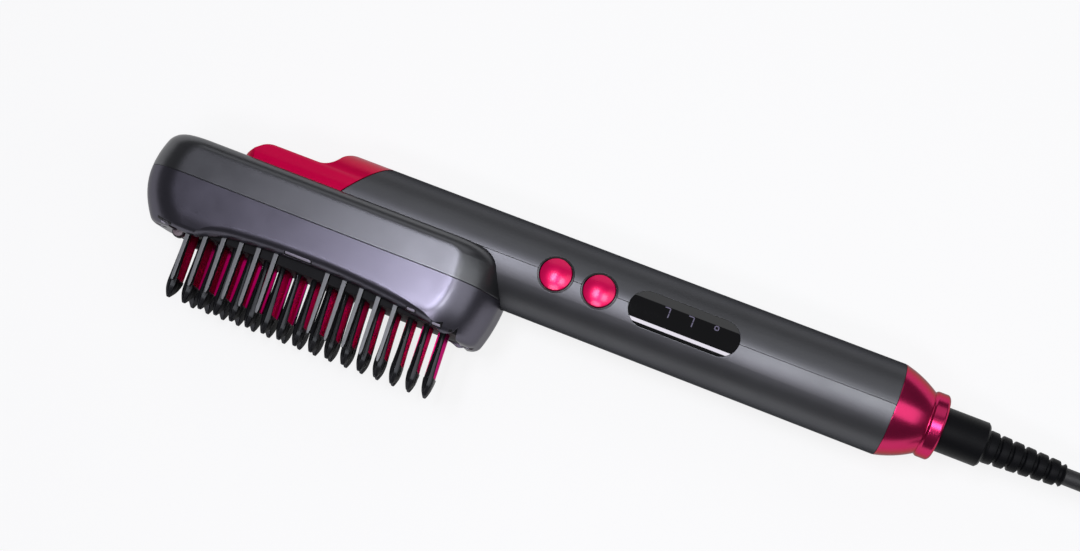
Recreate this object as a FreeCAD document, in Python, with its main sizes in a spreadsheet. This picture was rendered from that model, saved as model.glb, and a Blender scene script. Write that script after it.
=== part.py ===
"""Steam hair straightener brush, lying on the flat side of its head, as a parametric FreeCAD document.

Every piece is modelled in the brush's own axes: X runs from the tip of the head towards the cord, Y from
the teeth towards the back, Z towards the buttons, and the handle's centre line is the X axis. The last
section moves each finished piece into the resting frame and writes it to parts/.
"""
import FreeCAD, Part
import math
import os
import Sketcher

Vector = FreeCAD.Vector
doc = FreeCAD.newDocument("steam_brush")

# ---------------------------------------------------------------- driving sizes, in millimetres and degrees
SIZES = {
    "handle_radius": (18.0, "outside radius of the round handle"),
    "handle_wall": (2.2, "wall of the two handle shells"),
    "grip_length": (150.2, "head's heel to the seam of the rear cap"),
    "barrel_foot": (77.5, "head tip to the front of the half barrel, at its foot"),
    "barrel_rake": (12.5, "how far the barrel's top sits behind its foot"),
    "head_length": (149.8, "head, tip to heel"),
    "head_half_width": (27.0, "half the width of the head"),
    "side_flat": (26.9, "middle of the head to the flats on its sides"),
    "head_corner": (22.0, "plan radius of the head's corners"),
    "head_depth": (36.8, "back of the head to the sole at its ends"),
    "parting_depth": (16.0, "back of the head to the parting line"),
    "head_wall": (2.2, "wall of the head shells"),
    "tip_back_draw": (3.8, "how far the head's tip draws in towards the back"),
    "heel_back_draw": (2.5, "how far the head's heel draws in towards the back"),
    "shoulder_draw": (1.4, "how far the head's sides draw in towards the back"),
    "tip_draw": (9.0, "how far the head's tip draws in towards the sole"),
    "heel_draw": (3.5, "how far the head's heel draws in towards the sole"),
    "side_draw": (3.2, "how far the head's sides draw in towards the sole"),
    "back_round": (7.0, "rounding of the back's edge"),
    "foot_round": (4.0, "rounding of the sole's edge at its two ends"),
    "sole_round": (6.0, "rounding along the two long edges of the arch"),
    "sole_crown": (31.2, "back of the head to the crown of the sole's arch"),
    "arch_middle": (79.0, "head tip to the crown of the arch"),
    "arch_radius": (340.0, "radius of the arch's long middle"),
    "arch_fore": (32.0, "crown to the start of the tighter bend at the tip"),
    "arch_aft": (52.0, "crown to the start of the tighter bend at the heel"),
    "arch_fore_radius": (40.0, "radius of the bend at the tip"),
    "arch_aft_radius": (20.0, "radius of the bend at the heel"),
    "cavity_depth": (28.4, "back of the head to the seat of the comb frame"),
    "fit_gap": (0.3, "clearance between pieces that move or drop in"),
    "comb_start": (21.5, "head tip to the front of the comb frame"),
    "comb_length": (119.0, "length of the comb frame"),
    "comb_half_width": (20.0, "half the width of the comb frame"),
    "comb_depth": (35.0, "back of the head to the comb frame's floor"),
    "comb_flange": (2.5, "thickness of the comb frame's flange"),
    "floor_wall": (1.6, "floor of the comb frame"),
    "fin_lead": (4.4, "front of the comb frame to the root of the first heated fin"),
    "fin_tail": (6.0, "root of the last heated fin to the back of the comb frame"),
    "fin_count": (17, "fins in the near row; the far row has one fewer"),
    "fin_thickness": (2.2, "thickness of a fin"),
    "fin_breadth": (8.3, "breadth of a fin across the head"),
    "fin_inner": (2.6, "middle of the head to the inner edge of a fin"),
    "fin_end_depth": (54.6, "back of the head to the end of a fin"),
    "row_stagger": (3.4, "how far the far row sits behind the near one"),
    "edge_breadth": (1.7, "heat-proof edge in front of each fin"),
    "edge_thickness": (2.6, "thickness of that edge"),
    "tip_thickness": (3.8, "thickness of a tooth's tip at its shoulder"),
    "tooth_rake": (4.5, "lean of the teeth towards the handle, in degrees"),
    "tip_depth": (62.0, "back of the head to the point of the first tooth"),
    "row_rise": (1.2, "how much nearer to the back the last tooth's point lies than the first's"),
    "guard_lead": (7.0, "front of the comb frame to the root of the first guard tooth"),
    "guard_pitch": (7.22, "spacing of the guard teeth"),
    "guard_thickness": (1.9, "thickness of a guard tooth"),
    "guard_depth": (55.2, "back of the head to the end of a guard tooth"),
    "plate_thickness": (4.4, "heated plate that carries the fins"),
    "plate_half_width": (14.0, "half the width of the heated plate"),
    "heater_thickness": (2.4, "ceramic heater"),
    "chamber_height": (14.6, "height of the steam chamber"),
    "tank_front": (34.6, "head tip to the nose of the water tank"),
    "tank_low": (8.15, "height of the tank's low front deck"),
    "tank_ramp_start": (64.0, "head tip to the foot of the ramp on the tank"),
    "tank_ramp_end": (77.0, "head tip to the top of the ramp on the tank"),
    "tank_nose": (3.0, "rounding between the tank's sloping nose and its deck, along the deck"),
    "tank_wall": (1.6, "wall of the water tank"),
    "plug_place": (52.0, "head tip to the middle of the filler plug"),
    "nozzle_height": (7.6, "height of the water nozzle above the handle's centre line"),
    "nozzle_radius": (2.6, "outside radius of the water nozzle"),
    "nozzle_reach": (5.0, "how far the nozzle enters the tank"),
    "button_lead": (17.2, "head's heel to the first button"),
    "button_pitch": (17.5, "spacing of the two buttons"),
    "button_radius": (6.15, "radius of a button"),
    "button_dome": (1.1, "crown of a button's face"),
    "button_proud": (0.9, "how far a button's crown stands above the handle"),
    "bezel_width": (0.6, "width of the dark ring around a button"),
    "display_lead": (12.0, "second button to the front end of the display"),
    "display_length": (43.3, "length of the display window"),
    "display_width": (14.0, "width of the display window"),
    "board_height": (6.4, "handle's centre line to the underside of the control board"),
    "board_thickness": (1.6, "thickness of the control board"),
    "cap_length": (19.2, "rear cap, seam to the end of its collar"),
    "cap_neck": (13.6, "rear cap, seam to its neck"),
    "cap_neck_radius": (12.1, "radius of the rear cap's neck"),
    "cap_collar_radius": (12.8, "radius of the rear cap's collar"),
    "sleeve_radius": (8.6, "radius of the turning cord sleeve"),
    "sleeve_length": (17.0, "straight part of the cord sleeve outside the cap"),
    "relief_length": (30.0, "tapered strain relief after the sleeve"),
    "cord_radius": (3.3, "radius of the power cord"),
    "coil_radius": (36.3, "middle of the coil to the middle of its turns"),
    "coil_bundle": (12.1, "radius of the tied bundle of turns"),
    "coil_reach": (127.8, "end of the strain relief to the middle of the coiled cord"),
    "plug_length": (36.0, "length of the mains plug's body"),
}


class Size:
    """A length that carries its value and the expression that gives it in the sheet."""

    def __init__(self, value, text):
        self.value = value
        self.text = text

    def __add__(self, other):
        return join(self, "+", other)

    def __radd__(self, other):
        return join(other, "+", self)

    def __sub__(self, other):
        return join(self, "-", other)

    def __rsub__(self, other):
        return join(other, "-", self)

    def __mul__(self, other):
        return join(self, "*", other)

    def __rmul__(self, other):
        return join(other, "*", self)

    def __truediv__(self, other):
        return join(self, "/", other)

    def __neg__(self):
        return join(0, "-", self)


def value(size):
    return size.value if isinstance(size, Size) else float(size)


def text(size):
    return size.text if isinstance(size, Size) else repr(size)


def join(left, sign, right):
    a, b = value(left), value(right)
    result = {"+": a + b, "-": a - b, "*": a * b, "/": a / b if b else 0.0}[sign]
    return Size(result, f"({text(left)} {sign} {text(right)})")


def root(size):
    return Size(math.sqrt(value(size)), f"sqrt({text(size)})")


def tangent(angle):
    return Size(math.tan(math.radians(value(angle))), f"tan({text(angle)} * 1deg)")


def make_sheet():
    sheet = doc.addObject("Spreadsheet::Sheet", "Sizes")
    for row, (alias, (number, meaning)) in enumerate(SIZES.items(), 1):
        sheet.set(f"A{row}", meaning)
        sheet.set(f"B{row}", str(number))
        sheet.setAlias(f"B{row}", alias)
    doc.recompute()
    return {alias: Size(float(sheet.get(alias)), f"Sizes.{alias}") for alias in SIZES}


S = make_sheet()
PIECES = []


def bind(obj, **sizes):
    for name, size in sizes.items():
        setattr(obj, name, value(size))
        if isinstance(size, Size):
            obj.setExpression(name, size.text)
    return obj


def put(obj, x=0, y=0, z=0):
    """Places an object's base point, tied to the sheet."""
    obj.Placement.Base = Vector(value(x), value(y), value(z))
    for letter, size in zip("xyz", (x, y, z)):
        if isinstance(size, Size):
            obj.setExpression(f".Placement.Base.{letter}", size.text)
    return obj


def piece(obj, node):
    """Marks a finished piece: its label names its file."""
    obj.Label = node
    PIECES.append(obj)
    return obj


# ---------------------------------------------------------------- building blocks
def box(name, x, y, z):
    """A box between two corners, given as a (low, high) pair along each axis."""
    obj = doc.addObject("Part::Box", name)
    bind(obj, Length=x[1] - x[0], Width=y[1] - y[0], Height=z[1] - z[0])
    return put(obj, x[0], y[0], z[0])


TURNS = {
    "x": FreeCAD.Rotation(Vector(0, 1, 0), 90),
    "y": FreeCAD.Rotation(Vector(1, 0, 0), -90),
    "z": FreeCAD.Rotation(),
}


def rod(name, axis, start, radius, length):
    """A cylinder that starts at a point and runs along +X, +Y or +Z."""
    obj = doc.addObject("Part::Cylinder", name)
    bind(obj, Radius=radius, Height=length)
    obj.Placement.Rotation = TURNS[axis]
    return put(obj, *start)


def tube(name, axis, start, radius, bore, length):
    return cut(name, rod(name + "_body", axis, start, radius, length),
               rod(name + "_bore", axis, start, bore, length))


def fuse(name, *shapes):
    obj = doc.addObject("Part::MultiFuse", name)
    obj.Shapes = list(shapes)
    return obj


def cut(name, base, *tools):
    obj = doc.addObject("Part::Cut", name)
    obj.Base = base
    obj.Tool = tools[0] if len(tools) == 1 else fuse(name + "_tools", *tools)
    return obj


def common(name, *shapes):
    obj = doc.addObject("Part::MultiCommon", name)
    obj.Shapes = list(shapes)
    return obj


def group(name, shapes):
    """Equal pieces that share one node, kept as separate solids."""
    obj = doc.addObject("Part::Compound", name)
    obj.Links = list(shapes)
    return obj


def fillet(name, base, radius, chosen):
    """Rounds the edges of base for which chosen(edge) is true."""
    doc.recompute()
    obj = doc.addObject("Part::Fillet", name)
    obj.Base = base
    size = value(radius)
    obj.Edges = [(i, size, size) for i, edge in enumerate(base.Shape.Edges, 1) if chosen(edge)]
    return obj


PLANES = {
    "xy": FreeCAD.Rotation(),
    "xz": FreeCAD.Rotation(Vector(1, 0, 0), 90),
    "yz": FreeCAD.Rotation(Vector(0, 1, 0), Vector(0, 0, 1), Vector(1, 0, 0), "ZXY"),
}


def outline(sk, points, bends=None):
    """Draws a closed outline of lines through points tied to the sheet. bends gives, for a side's number,
    the radius of the arc that replaces it: positive bulges to the right of the way it is walked."""
    bends = bends or {}
    count = len(points)
    flat = [Vector(value(u), value(v), 0) for u, v in points]
    ends = []
    for i in range(count):
        a, b = flat[i], flat[(i + 1) % count]
        if i not in bends:
            sk.addGeometry(Part.LineSegment(a, b), False)
            ends.append((1, 2))
            continue
        radius = abs(value(bends[i]))
        side = 1 if value(bends[i]) > 0 else -1
        chord = b - a
        half = chord.Length / 2
        across = Vector(chord.y, -chord.x, 0).normalize() * side
        centre = (a + b) * 0.5 - across * math.sqrt(max(radius ** 2 - half ** 2, 0))
        sk.addGeometry(Part.ArcOfCircle(a, centre + across * radius, b), False)
        # a sketch keeps every arc anticlockwise, so one walked the other way starts at its second point
        forward = (sk.getPoint(i, 1) - a).Length < 1e-6
        ends.append((1, 2) if forward else (2, 1))
    for i in range(count):
        j = (i + 1) % count
        sk.addConstraint(Sketcher.Constraint("Coincident", i, ends[i][1], j, ends[j][0]))
    for i, (u, v) in enumerate(points):
        for kind, size in (("DistanceX", u), ("DistanceY", v)):
            k = sk.addConstraint(Sketcher.Constraint(kind, -1, 1, i, ends[i][0], value(size)))
            if isinstance(size, Size):
                sk.setExpression(f"Constraints[{k}]", size.text)
    for i, radius in bends.items():
        k = sk.addConstraint(Sketcher.Constraint("Radius", i, abs(value(radius))))
        if isinstance(radius, Size):
            sk.setExpression(f"Constraints[{k}]", radius.text if value(radius) > 0 else (-radius).text)
    return sk


def sketch(name, plane, points, bends=None, at=(0, 0, 0)):
    sk = doc.addObject("Sketcher::SketchObject", name)
    sk.Placement.Rotation = PLANES[plane]
    outline(sk, points, bends)
    return put(sk, *at)


def prism(name, profile, length):
    """Extrudes a sketch along its normal."""
    obj = doc.addObject("Part::Extrusion", name)
    obj.Base = profile
    obj.DirMode = "Normal"
    obj.Solid = True
    return bind(obj, LengthFwd=length)


def slab(name, points, z, bends=None):
    """A prism whose outline lies in the XY plane, between two heights."""
    return prism(name, sketch(name + "_outline", "xy", points, bends, at=(0, 0, z[0])), z[1] - z[0])


def origin_plane(body, role):
    return next(item for item in body.Origin.OriginFeatures if item.Role == role)


def body_sketch(name, points, bends):
    body = doc.addObject("PartDesign::Body", name)
    sk = body.newObject("Sketcher::SketchObject", name + "_outline")
    sk.AttachmentSupport = [(origin_plane(body, "XY_Plane"), "")]
    sk.MapMode = "FlatFace"
    return body, outline(sk, points, bends)


def turned(name, points, bends=None):
    """A PartDesign body turned about the X axis from an outline in the XY plane."""
    body, sk = body_sketch(name, points, bends)
    feature = body.newObject("PartDesign::Revolution", name + "_turn")
    feature.Profile = sk
    feature.ReferenceAxis = (origin_plane(body, "X_Axis"), [""])
    feature.Angle = 360
    body.Tip = feature
    return body


def padded(name, points, length, bends=None, start=0):
    """A PartDesign body padded along Z from an outline in the XY plane."""
    body, sk = body_sketch(name, points, bends)
    feature = body.newObject("PartDesign::Pad", name + "_pad")
    feature.Profile = sk
    bind(feature, Length=length)
    body.Tip = feature
    return put(body, 0, 0, start)


def rectangle(x, y):
    return [(x[0], y[0]), (x[1], y[0]), (x[1], y[1]), (x[0], y[1])]


# ---------------------------------------------------------------- head shells
handle_end = S["head_length"] + S["grip_length"]
inner_radius = S["handle_radius"] - S["handle_wall"]
handle_hole = S["handle_radius"] + 0.05
handle_entry = 14
notch_start = S["head_length"] - handle_entry
screw_radius = 1.25
screw_head_radius, screw_head_height = 2.2, 1.8
boss_radius = 3.6
pilot_radius = screw_radius + 0.05
sink_depth, sink_radius = 5.5, 2.4
tip_screw_inset, tip_screw_offset = 14, 11
TIP_SCREWS = [(tip_screw_inset, -tip_screw_offset), (tip_screw_inset, tip_screw_offset)]
HEEL_SCREW = (S["head_length"] - 6.6, 0)
rail_height, rail_half = 2, 5
rail_start, rail_end = S["tank_front"] + 10.4, S["barrel_foot"] - 6.5

BACKWARD = {"from": S["parting_depth"], "to": 0, "tip": S["tip_back_draw"], "heel": S["heel_back_draw"],
            "side": S["shoulder_draw"]}
FORWARD = {"from": S["parting_depth"], "to": S["head_depth"], "tip": S["tip_draw"], "heel": S["heel_draw"],
           "side": S["side_draw"]}


def head_section(name, depth, draws, inset):
    """The head's plan at one depth: a rectangle with large rounded corners. Away from the parting line its
    ends draw in as a parabola, and its sides more flatly."""
    share = (depth - draws["from"]) / (draws["to"] - draws["from"])
    square = share * share
    side = draws["side"] * square * square
    x0 = draws["tip"] * square + inset
    x1 = S["head_length"] - draws["heel"] * square - inset
    half = S["head_half_width"] - side - inset
    radius = S["head_corner"] - side - inset
    points = [(x0 + radius, -half), (x1 - radius, -half), (x1, radius - half), (x1, half - radius),
              (x1 - radius, half), (x0 + radius, half), (x0, half - radius), (x0, radius - half)]
    return sketch(name, "xz", points, {1: radius, 3: radius, 5: radius, 7: radius}, at=(0, -depth, 0))


def head_loft(name, draws, depths, inset=0):
    obj = doc.addObject("Part::Loft", name)
    obj.Sections = [head_section(f"{name}_{i}", depth, draws, inset) for i, depth in enumerate(depths)]
    obj.Solid = True
    obj.Ruled = False
    return obj


def head_housing(flats):
    """Back half of the head: a tray with a flat back, a rail for the tank and a notch for the handle."""
    split = S["parting_depth"]
    outer = head_loft("housing_outer", BACKWARD, [0, split / 4, split / 2, split])
    rounded = fillet("housing_rounded", outer, S["back_round"],
                     lambda edge: edge.BoundBox.YMin > -0.01 and edge.BoundBox.YLength < 0.01)
    inner = head_loft("housing_inner", BACKWARD, [S["head_wall"], split / 2, split], S["head_wall"])
    notch = rod("housing_notch", "x", (notch_start, 0, 0), handle_hole, 40)
    window = box("housing_window", (pump_outlet - 4, pump_outlet + 4), (-10, 5), (-4, 4))
    shell = cut("housing_shell", common("housing_flat", rounded, flats), inner, notch, window)
    rail = box("tank_rail", (rail_start, rail_end), (-0.5, rail_height), (-rail_half, rail_half))
    bosses = [rod(f"housing_boss_{i}", "y", (x, -split, z), boss_radius, split - 1)
              for i, (x, z) in enumerate(TIP_SCREWS)]
    pilots = [rod(f"housing_pilot_{i}", "y", (x, -split - 1, z), pilot_radius, 11)
              for i, (x, z) in enumerate(TIP_SCREWS)]
    return piece(cut("housing", fuse("housing_whole", shell, rail, *bosses), *pilots), "head_housing")


def arch_bend(side, start, radius, reach):
    """Where the arch's middle hands over to the tighter bend at one end, and that bend's own end."""
    far = S["arch_radius"]
    lean = start / far
    upright = root(1 - lean * lean)
    base = -S["sole_crown"] - far
    join_x, join_y = S["arch_middle"] + far * lean * side, base + far * upright
    centre_x, centre_y = S["arch_middle"] + (far - radius) * lean * side, base + (far - radius) * upright
    end_x = centre_x + root(radius * radius - (reach - centre_y) * (reach - centre_y)) * side
    return (join_x, join_y), (end_x, reach)


def sole_arch():
    """What the arch takes off the sole: a block less the rounded body that stands over the teeth."""
    reach = -S["head_depth"] - S["sole_round"] - 1.5
    fore, fore_end = arch_bend(-1, S["arch_fore"], S["arch_fore_radius"], reach)
    aft, aft_end = arch_bend(1, S["arch_aft"], S["arch_aft_radius"], reach)
    points = [fore_end, fore, aft, aft_end, (aft_end[0], 10), (fore_end[0], 10)]
    half = S["side_flat"]
    # walked from tip to heel the arch bulges to the left
    body = slab("arch_body", points, (-half, half),
                {0: -S["arch_fore_radius"], 1: -S["arch_radius"], 2: -S["arch_aft_radius"]})

    def long_edge(edge):
        bounds = edge.BoundBox
        return bounds.ZLength < 0.01 and bounds.YMax < -30 and bounds.XLength > 5

    rounded = fillet("arch_rounded", body, S["sole_round"], long_edge)
    block = box("arch_block", (fore_end[0], aft_end[0]), (-60, 9), (-40, 40))
    return cut("sole_arch", block, rounded)


# head tip to the start of each steam outlet, its length, its depth below the back and its reach to the side
OUTLETS = [(21.4, 3.6, 36.0, 20.7), (68.6, 11.5, 30.4, 23.9),
           (120.4, 4.0, 33.3, 23.9), (131.2, 4.2, 34.9, 23.5)]
outlet_tilt = 60
outlet_width = 2.4
outlet_deep = 2.0


def outlet_blocks(name, proud):
    """Blocks tilted into the rounded edges of the sole, reaching proud of the surface."""
    blocks = []
    for i, (x, length, depth, reach) in enumerate(OUTLETS):
        for side, word in ((1, "near"), (-1, "far")):
            block = doc.addObject("Part::Box", f"{name}_{word}_{i}")
            bind(block, Length=length, Width=outlet_deep + proud, Height=outlet_width)
            block.Placement.Rotation = FreeCAD.Rotation(Vector(1, 0, 0), (outlet_tilt - 90) * side)
            corner = block.Placement.Rotation.multVec(Vector(0, -proud, -outlet_width / 2))
            blocks.append(put(block, x, corner.y - depth, corner.z + side * reach))
    return blocks


def head_skirt(flats):
    """Front half of the head, with the arched sole that the comb comes through."""
    split = S["parting_depth"]
    steps = [split + (S["head_depth"] - split) * share for share in (0, 0.25, 0.5, 0.75, 1)]
    outer = head_loft("skirt_outer", FORWARD, steps)
    low = -value(S["head_depth"])
    rounded = fillet("skirt_rounded", outer, S["foot_round"], lambda edge: edge.BoundBox.YMax < low + 0.01)
    arched = common("skirt_arched", cut("skirt_sole", rounded, sole_arch()), flats)
    seat = S["cavity_depth"]
    inner = head_loft("skirt_inner", FORWARD, [split, (split + seat) / 2, seat], S["head_wall"])
    gap = S["fit_gap"]
    half = S["comb_half_width"] + gap
    opening = box("sole_opening", (S["comb_start"] - gap, S["comb_start"] + S["comb_length"] + gap),
                  (-60, 1 - seat), (-half, half))
    notch = rod("skirt_notch", "x", (notch_start, 0, 0), handle_hole, 40)
    places = TIP_SCREWS + [HEEL_SCREW]
    bosses = [rod(f"skirt_boss_{i}", "y", (x, -seat - 1, z), boss_radius, seat + 1 - split)
              for i, (x, z) in enumerate(TIP_SCREWS)]
    holes = [rod(f"skirt_hole_{i}", "y", (x, -60, z), screw_radius + 0.2, 50)
             for i, (x, z) in enumerate(places)]
    sinks = [rod(f"skirt_sink_{i}", "y", (x, -60, z), sink_radius, 60 - S["head_depth"] + sink_depth)
             for i, (x, z) in enumerate(places)]
    whole = fuse("skirt_whole", cut("skirt_shell", arched, inner, notch), *bosses)
    pockets = outlet_blocks("outlet_pocket", 2.0)
    return piece(cut("skirt", whole, opening, *holes, *sinks, *pockets), "head_skirt")


def steam_outlets():
    """Inserts that let spare steam out along both edges of the sole."""
    return piece(group("outlets", outlet_blocks("outlet_insert", -0.3)), "steam_outlets")


def screw(name, x, z, low, high):
    head = rod(name + "_head", "y", (x, low - screw_head_height, z), screw_head_radius, screw_head_height)
    return fuse(name, rod(name + "_shank", "y", (x, low, z), screw_radius, high - low), head)


def head_screws():
    low = sink_depth - S["head_depth"]
    tips = [screw(f"tip_screw_{i}", x, z, low, -6.5) for i, (x, z) in enumerate(TIP_SCREWS)]
    inside_boss = 6 - S["handle_radius"]
    return piece(group("screws", tips + [screw("heel_screw", *HEEL_SCREW, low, inside_boss)]), "head_screws")


# ---------------------------------------------------------------- comb, heaters and boiler
rake = tangent(S["tooth_rake"])
comb_end = S["comb_start"] + S["comb_length"]
fin_first = S["comb_start"] + S["fin_lead"]
fin_pitch = (S["comb_length"] - S["fin_lead"] - S["fin_tail"]) / (S["fin_count"] - 1)
guard_first = S["comb_start"] + S["guard_lead"]
plate_low = S["floor_wall"] - S["comb_depth"]
plate_top = plate_low + S["plate_thickness"]
heater_top = plate_top + S["heater_thickness"]
chamber_top = heater_top + S["chamber_height"]
steam_holes = [fin_first + fin_pitch * (i + 0.65) for i in range(1, int(value(S["fin_count"])) - 1, 2)]
heater_start, heater_gap, heater_half = S["comb_start"] + 13.5, 14, 9
heater_length = (S["comb_length"] - 35) / 2
chamber_port_x = heater_start + heater_length + heater_gap / 2


def leaning(x, y, start):
    """X of a point on a tooth that leans towards the handle below its start."""
    return x + (start - y) * rake


def fin_roots():
    """Name, side, root and shortening of every heated fin. The far row fills the gaps of the near one."""
    count = int(value(S["fin_count"]))
    for i in range(count):
        near, rise = fin_first + fin_pitch * i, S["row_rise"] * (i / (count - 1))
        yield f"near_{i}", 1, near, rise
        if i < count - 1:
            yield f"far_{i}", -1, near + S["row_stagger"], rise


def fin_span(side, extra=0.0):
    inner, outer = S["fin_inner"] - extra, S["fin_inner"] + S["fin_breadth"] + extra
    return (inner, outer) if side > 0 else (-outer, -inner)


def fin_prisms(name, top, end, extra=0.0):
    half = S["fin_thickness"] / 2 + extra
    shapes = []
    for word, side, x, rise in fin_roots():
        low = end + rise
        a, b = leaning(x, top, -S["comb_depth"]), leaning(x, low, -S["comb_depth"])
        points = [(a - half, top), (b - half, low), (b + half, low), (a + half, top)]
        shapes.append(slab(f"{name}_{word}", points, fin_span(side, extra)))
    return shapes


def heated_comb():
    """Anodised aluminium plate with two rows of broad fins and a line of steam holes between them."""
    half = S["plate_half_width"]
    plate = box("comb_plate", (S["comb_start"] + 2.5, comb_end - 1), (plate_low, plate_top), (-half, half))
    fins = fin_prisms("fin", plate_low + 0.5, -S["fin_end_depth"])
    gallery = box("plate_gallery", (steam_holes[0] - 3, steam_holes[-1] + 3),
                  (plate_top - 1.5, plate_top + 1), (-1.5, 1.5))
    holes = [rod(f"plate_hole_{i}", "y", (x, plate_low - 1, 0), 0.9, 8) for i, x in enumerate(steam_holes)]
    return piece(cut("comb", fuse("comb_whole", plate, *fins), gallery, *holes), "heated_comb")


def teeth_edges():
    """Heat-proof edge down the outer side of every fin, ending in a tip that caps the fin. The tip narrows
    to a blunt point as seen from the side of the head and from its ends."""
    teeth = []
    base = -S["comb_depth"]
    half, wide, blunt = S["edge_thickness"] / 2, S["tip_thickness"] / 2, 0.35
    shoulder_drop, flank, corner = 1.6, 16, 9
    for word, side, x, rise in fin_roots():
        top, end = rise - S["fin_end_depth"], rise - S["tip_depth"]
        shoulder = top - shoulder_drop
        a, b, c = (leaning(x, y, base) for y in (top, shoulder, end))
        inner, outer = S["fin_inner"] - 0.3, S["fin_inner"] + S["fin_breadth"]
        rim = outer + S["edge_breadth"]
        strip = slab(f"strip_{word}", [(x - half, base), (a - half, top), (a + half, top), (x + half, base)],
                     (outer, rim) if side > 0 else (-rim, -outer))
        points = [(a - half, top), (b - wide, shoulder), (c - blunt, end), (c + blunt, end),
                  (b + wide, shoulder), (a + half, top)]
        span = (inner, rim) if side > 0 else (-rim, -inner)
        leaf = slab(f"leaf_{word}", points, span, {1: flank, 3: flank})
        profile = [(top, side * inner), (shoulder - 2, side * inner), (end, side * (inner + 3.4)),
                   (end, side * (rim - 3.4)), (shoulder - 2, side * rim), (top, side * rim)]
        taper = prism(f"taper_{word}", sketch(f"taper_{word}_outline", "yz", profile,
                                              {1: corner * side, 3: corner * side}, at=(a - 10, 0, 0)), 22)
        teeth.append(fuse(f"tooth_{word}", strip, common(f"tip_{word}", leaf, taper)))
    return piece(group("teeth", teeth), "teeth_edges")


def guard_teeth(name):
    """Guard teeth on both sides. They leave room for the long steam outlet in the middle."""
    teeth = []
    thick = S["guard_thickness"] / 2
    start, end = 0.4 - S["comb_depth"] + 4, -S["guard_depth"]
    outer = S["comb_half_width"]
    for i in (0, 1, 2, 3, 4, 5, 8, 9, 10, 11, 12):
        x = guard_first + S["guard_pitch"] * i
        b, c = leaning(x, end + 1.8, start), leaning(x, end, start)
        points = [(x - thick, start), (b - thick + 0.25, end + 1.8), (c - 0.4, end), (c + 0.4, end),
                  (b + thick - 0.25, end + 1.8), (x + thick, start)]
        teeth.append(slab(f"{name}_near_{i}", points, (outer - 2.4, outer)))
        teeth.append(slab(f"{name}_far_{i}", points, (-outer, 2.4 - outer)))
    return teeth


def comb_frame():
    """Black frame that closes the sole, with a slot for each fin and a row of guard teeth on each side."""
    start, low = S["comb_start"], -S["comb_depth"]
    half, seat = S["comb_half_width"], -S["cavity_depth"]
    top = seat + S["comb_flange"]
    shelf = low + 4.2
    pocket_half = S["plate_half_width"] + 0.2
    nose = box("frame_nose", (start, comb_end), (low, top), (1.6 - half, half - 1.6))
    neck = box("frame_neck", (start, comb_end), (shelf, top), (-half, half))
    flange = box("frame_flange", (start + 4, comb_end - 7), (seat, top), (-half - 2, half + 2))
    pocket = box("frame_pocket", (start + 2.2, comb_end - 0.8), (plate_low, top + 5),
                 (-pocket_half, pocket_half))
    whole = fuse("frame_whole", nose, neck, flange, *guard_teeth("guard"))
    slots = fin_prisms("slot", plate_low + 1, low - 1 - S["row_rise"], 0.15)
    holes = [rod(f"frame_hole_{i}", "y", (x, low - 1, 0), 1.2, 8) for i, x in enumerate(steam_holes)]
    return piece(cut("frame", whole, pocket, *slots, *holes), "comb_frame")


def ceramic_heaters():
    starts = (heater_start, heater_start + heater_length + heater_gap)
    slabs = [box(f"heater_{i}", (x, x + heater_length), (plate_top, heater_top), (-heater_half, heater_half))
             for i, x in enumerate(starts)]
    return piece(group("heaters", slabs), "ceramic_heaters")


def steam_chamber():
    """Cast aluminium boiler on the heaters, open at the top, with a port down to the plate's gallery."""
    start, end, half, wall = chamber_start, chamber_end, chamber_half, chamber_wall
    block = box("chamber_block", (start, end), (heater_top, chamber_top), (-half, half))
    port = rod("chamber_port", "y", (chamber_port_x, plate_top, 0), 3, S["heater_thickness"] + 1)
    pool = box("chamber_pool", (start + wall, end - wall), (heater_top + wall, chamber_top + 1),
               (wall - half, half - wall))
    bore = rod("chamber_bore", "y", (chamber_port_x, plate_top - 1, 0), 1.3, 8)
    return piece(cut("chamber", fuse("chamber_whole", block, port), pool, bore), "steam_chamber")


def chamber_lid():
    plate = box("lid_plate", (chamber_start, chamber_end), (chamber_top, chamber_top + 1.6),
                (-chamber_half, chamber_half))
    spout = rod("lid_spout", "y", (pump_outlet, chamber_top + 1, 0), spout_radius, 3.6)
    hole = rod("lid_hole", "y", (pump_outlet, chamber_top - 1, 0), 0.8, 8)
    return piece(cut("lid", fuse("lid_whole", plate, spout), hole), "chamber_lid")


def thermal_fuse():
    """Cut-out that lies against the side of the boiler."""
    radius = 2
    middle = (chamber_start + 20, heater_top + 6.2, chamber_half + radius + 0.05)
    return piece(rod("fuse_can", "x", middle, radius, 16), "thermal_fuse")


# ---------------------------------------------------------------- handle shells
button_centres = [S["head_length"] + S["button_lead"] + S["button_pitch"] * i for i in (0, 1)]
display_start = button_centres[1] + S["display_lead"]
bezel_radius = S["button_radius"] + S["fit_gap"] + S["bezel_width"]


def stadium(name, start, length, width, z):
    """A prism with rounded ends, along X and centred on the handle."""
    r = width / 2
    points = [(start + r, -r), (start + length - r, -r), (start + length, 0), (start + length - r, r),
              (start + r, r), (start, 0)]
    return slab(name, points, z, {1: r, 2: r, 4: r, 5: r})


def wall_cuts(side):
    """The holes that both handle shells share along their joint: two buttons and the display."""
    holes = [rod(f"{side}_button_hole_{i}", "z", (x, 0, 5), bezel_radius, 20)
             for i, x in enumerate(button_centres)]
    return holes + [stadium(f"{side}_display_slot", display_start, S["display_length"],
                            S["display_width"], (5, 25))]


def ahead_of_barrel(name, shift=0.0):
    """Everything in front of the barrel's raked end."""
    r, lean = S["handle_radius"], S["barrel_rake"]
    low, high = S["barrel_foot"] - lean * 2 / r + shift, S["barrel_foot"] + lean * (r + 2) / r + shift
    return slab(name, [(low, -2), (high, r + 2), (-10, r + 2), (-10, -2)], (-40, 40))


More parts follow.
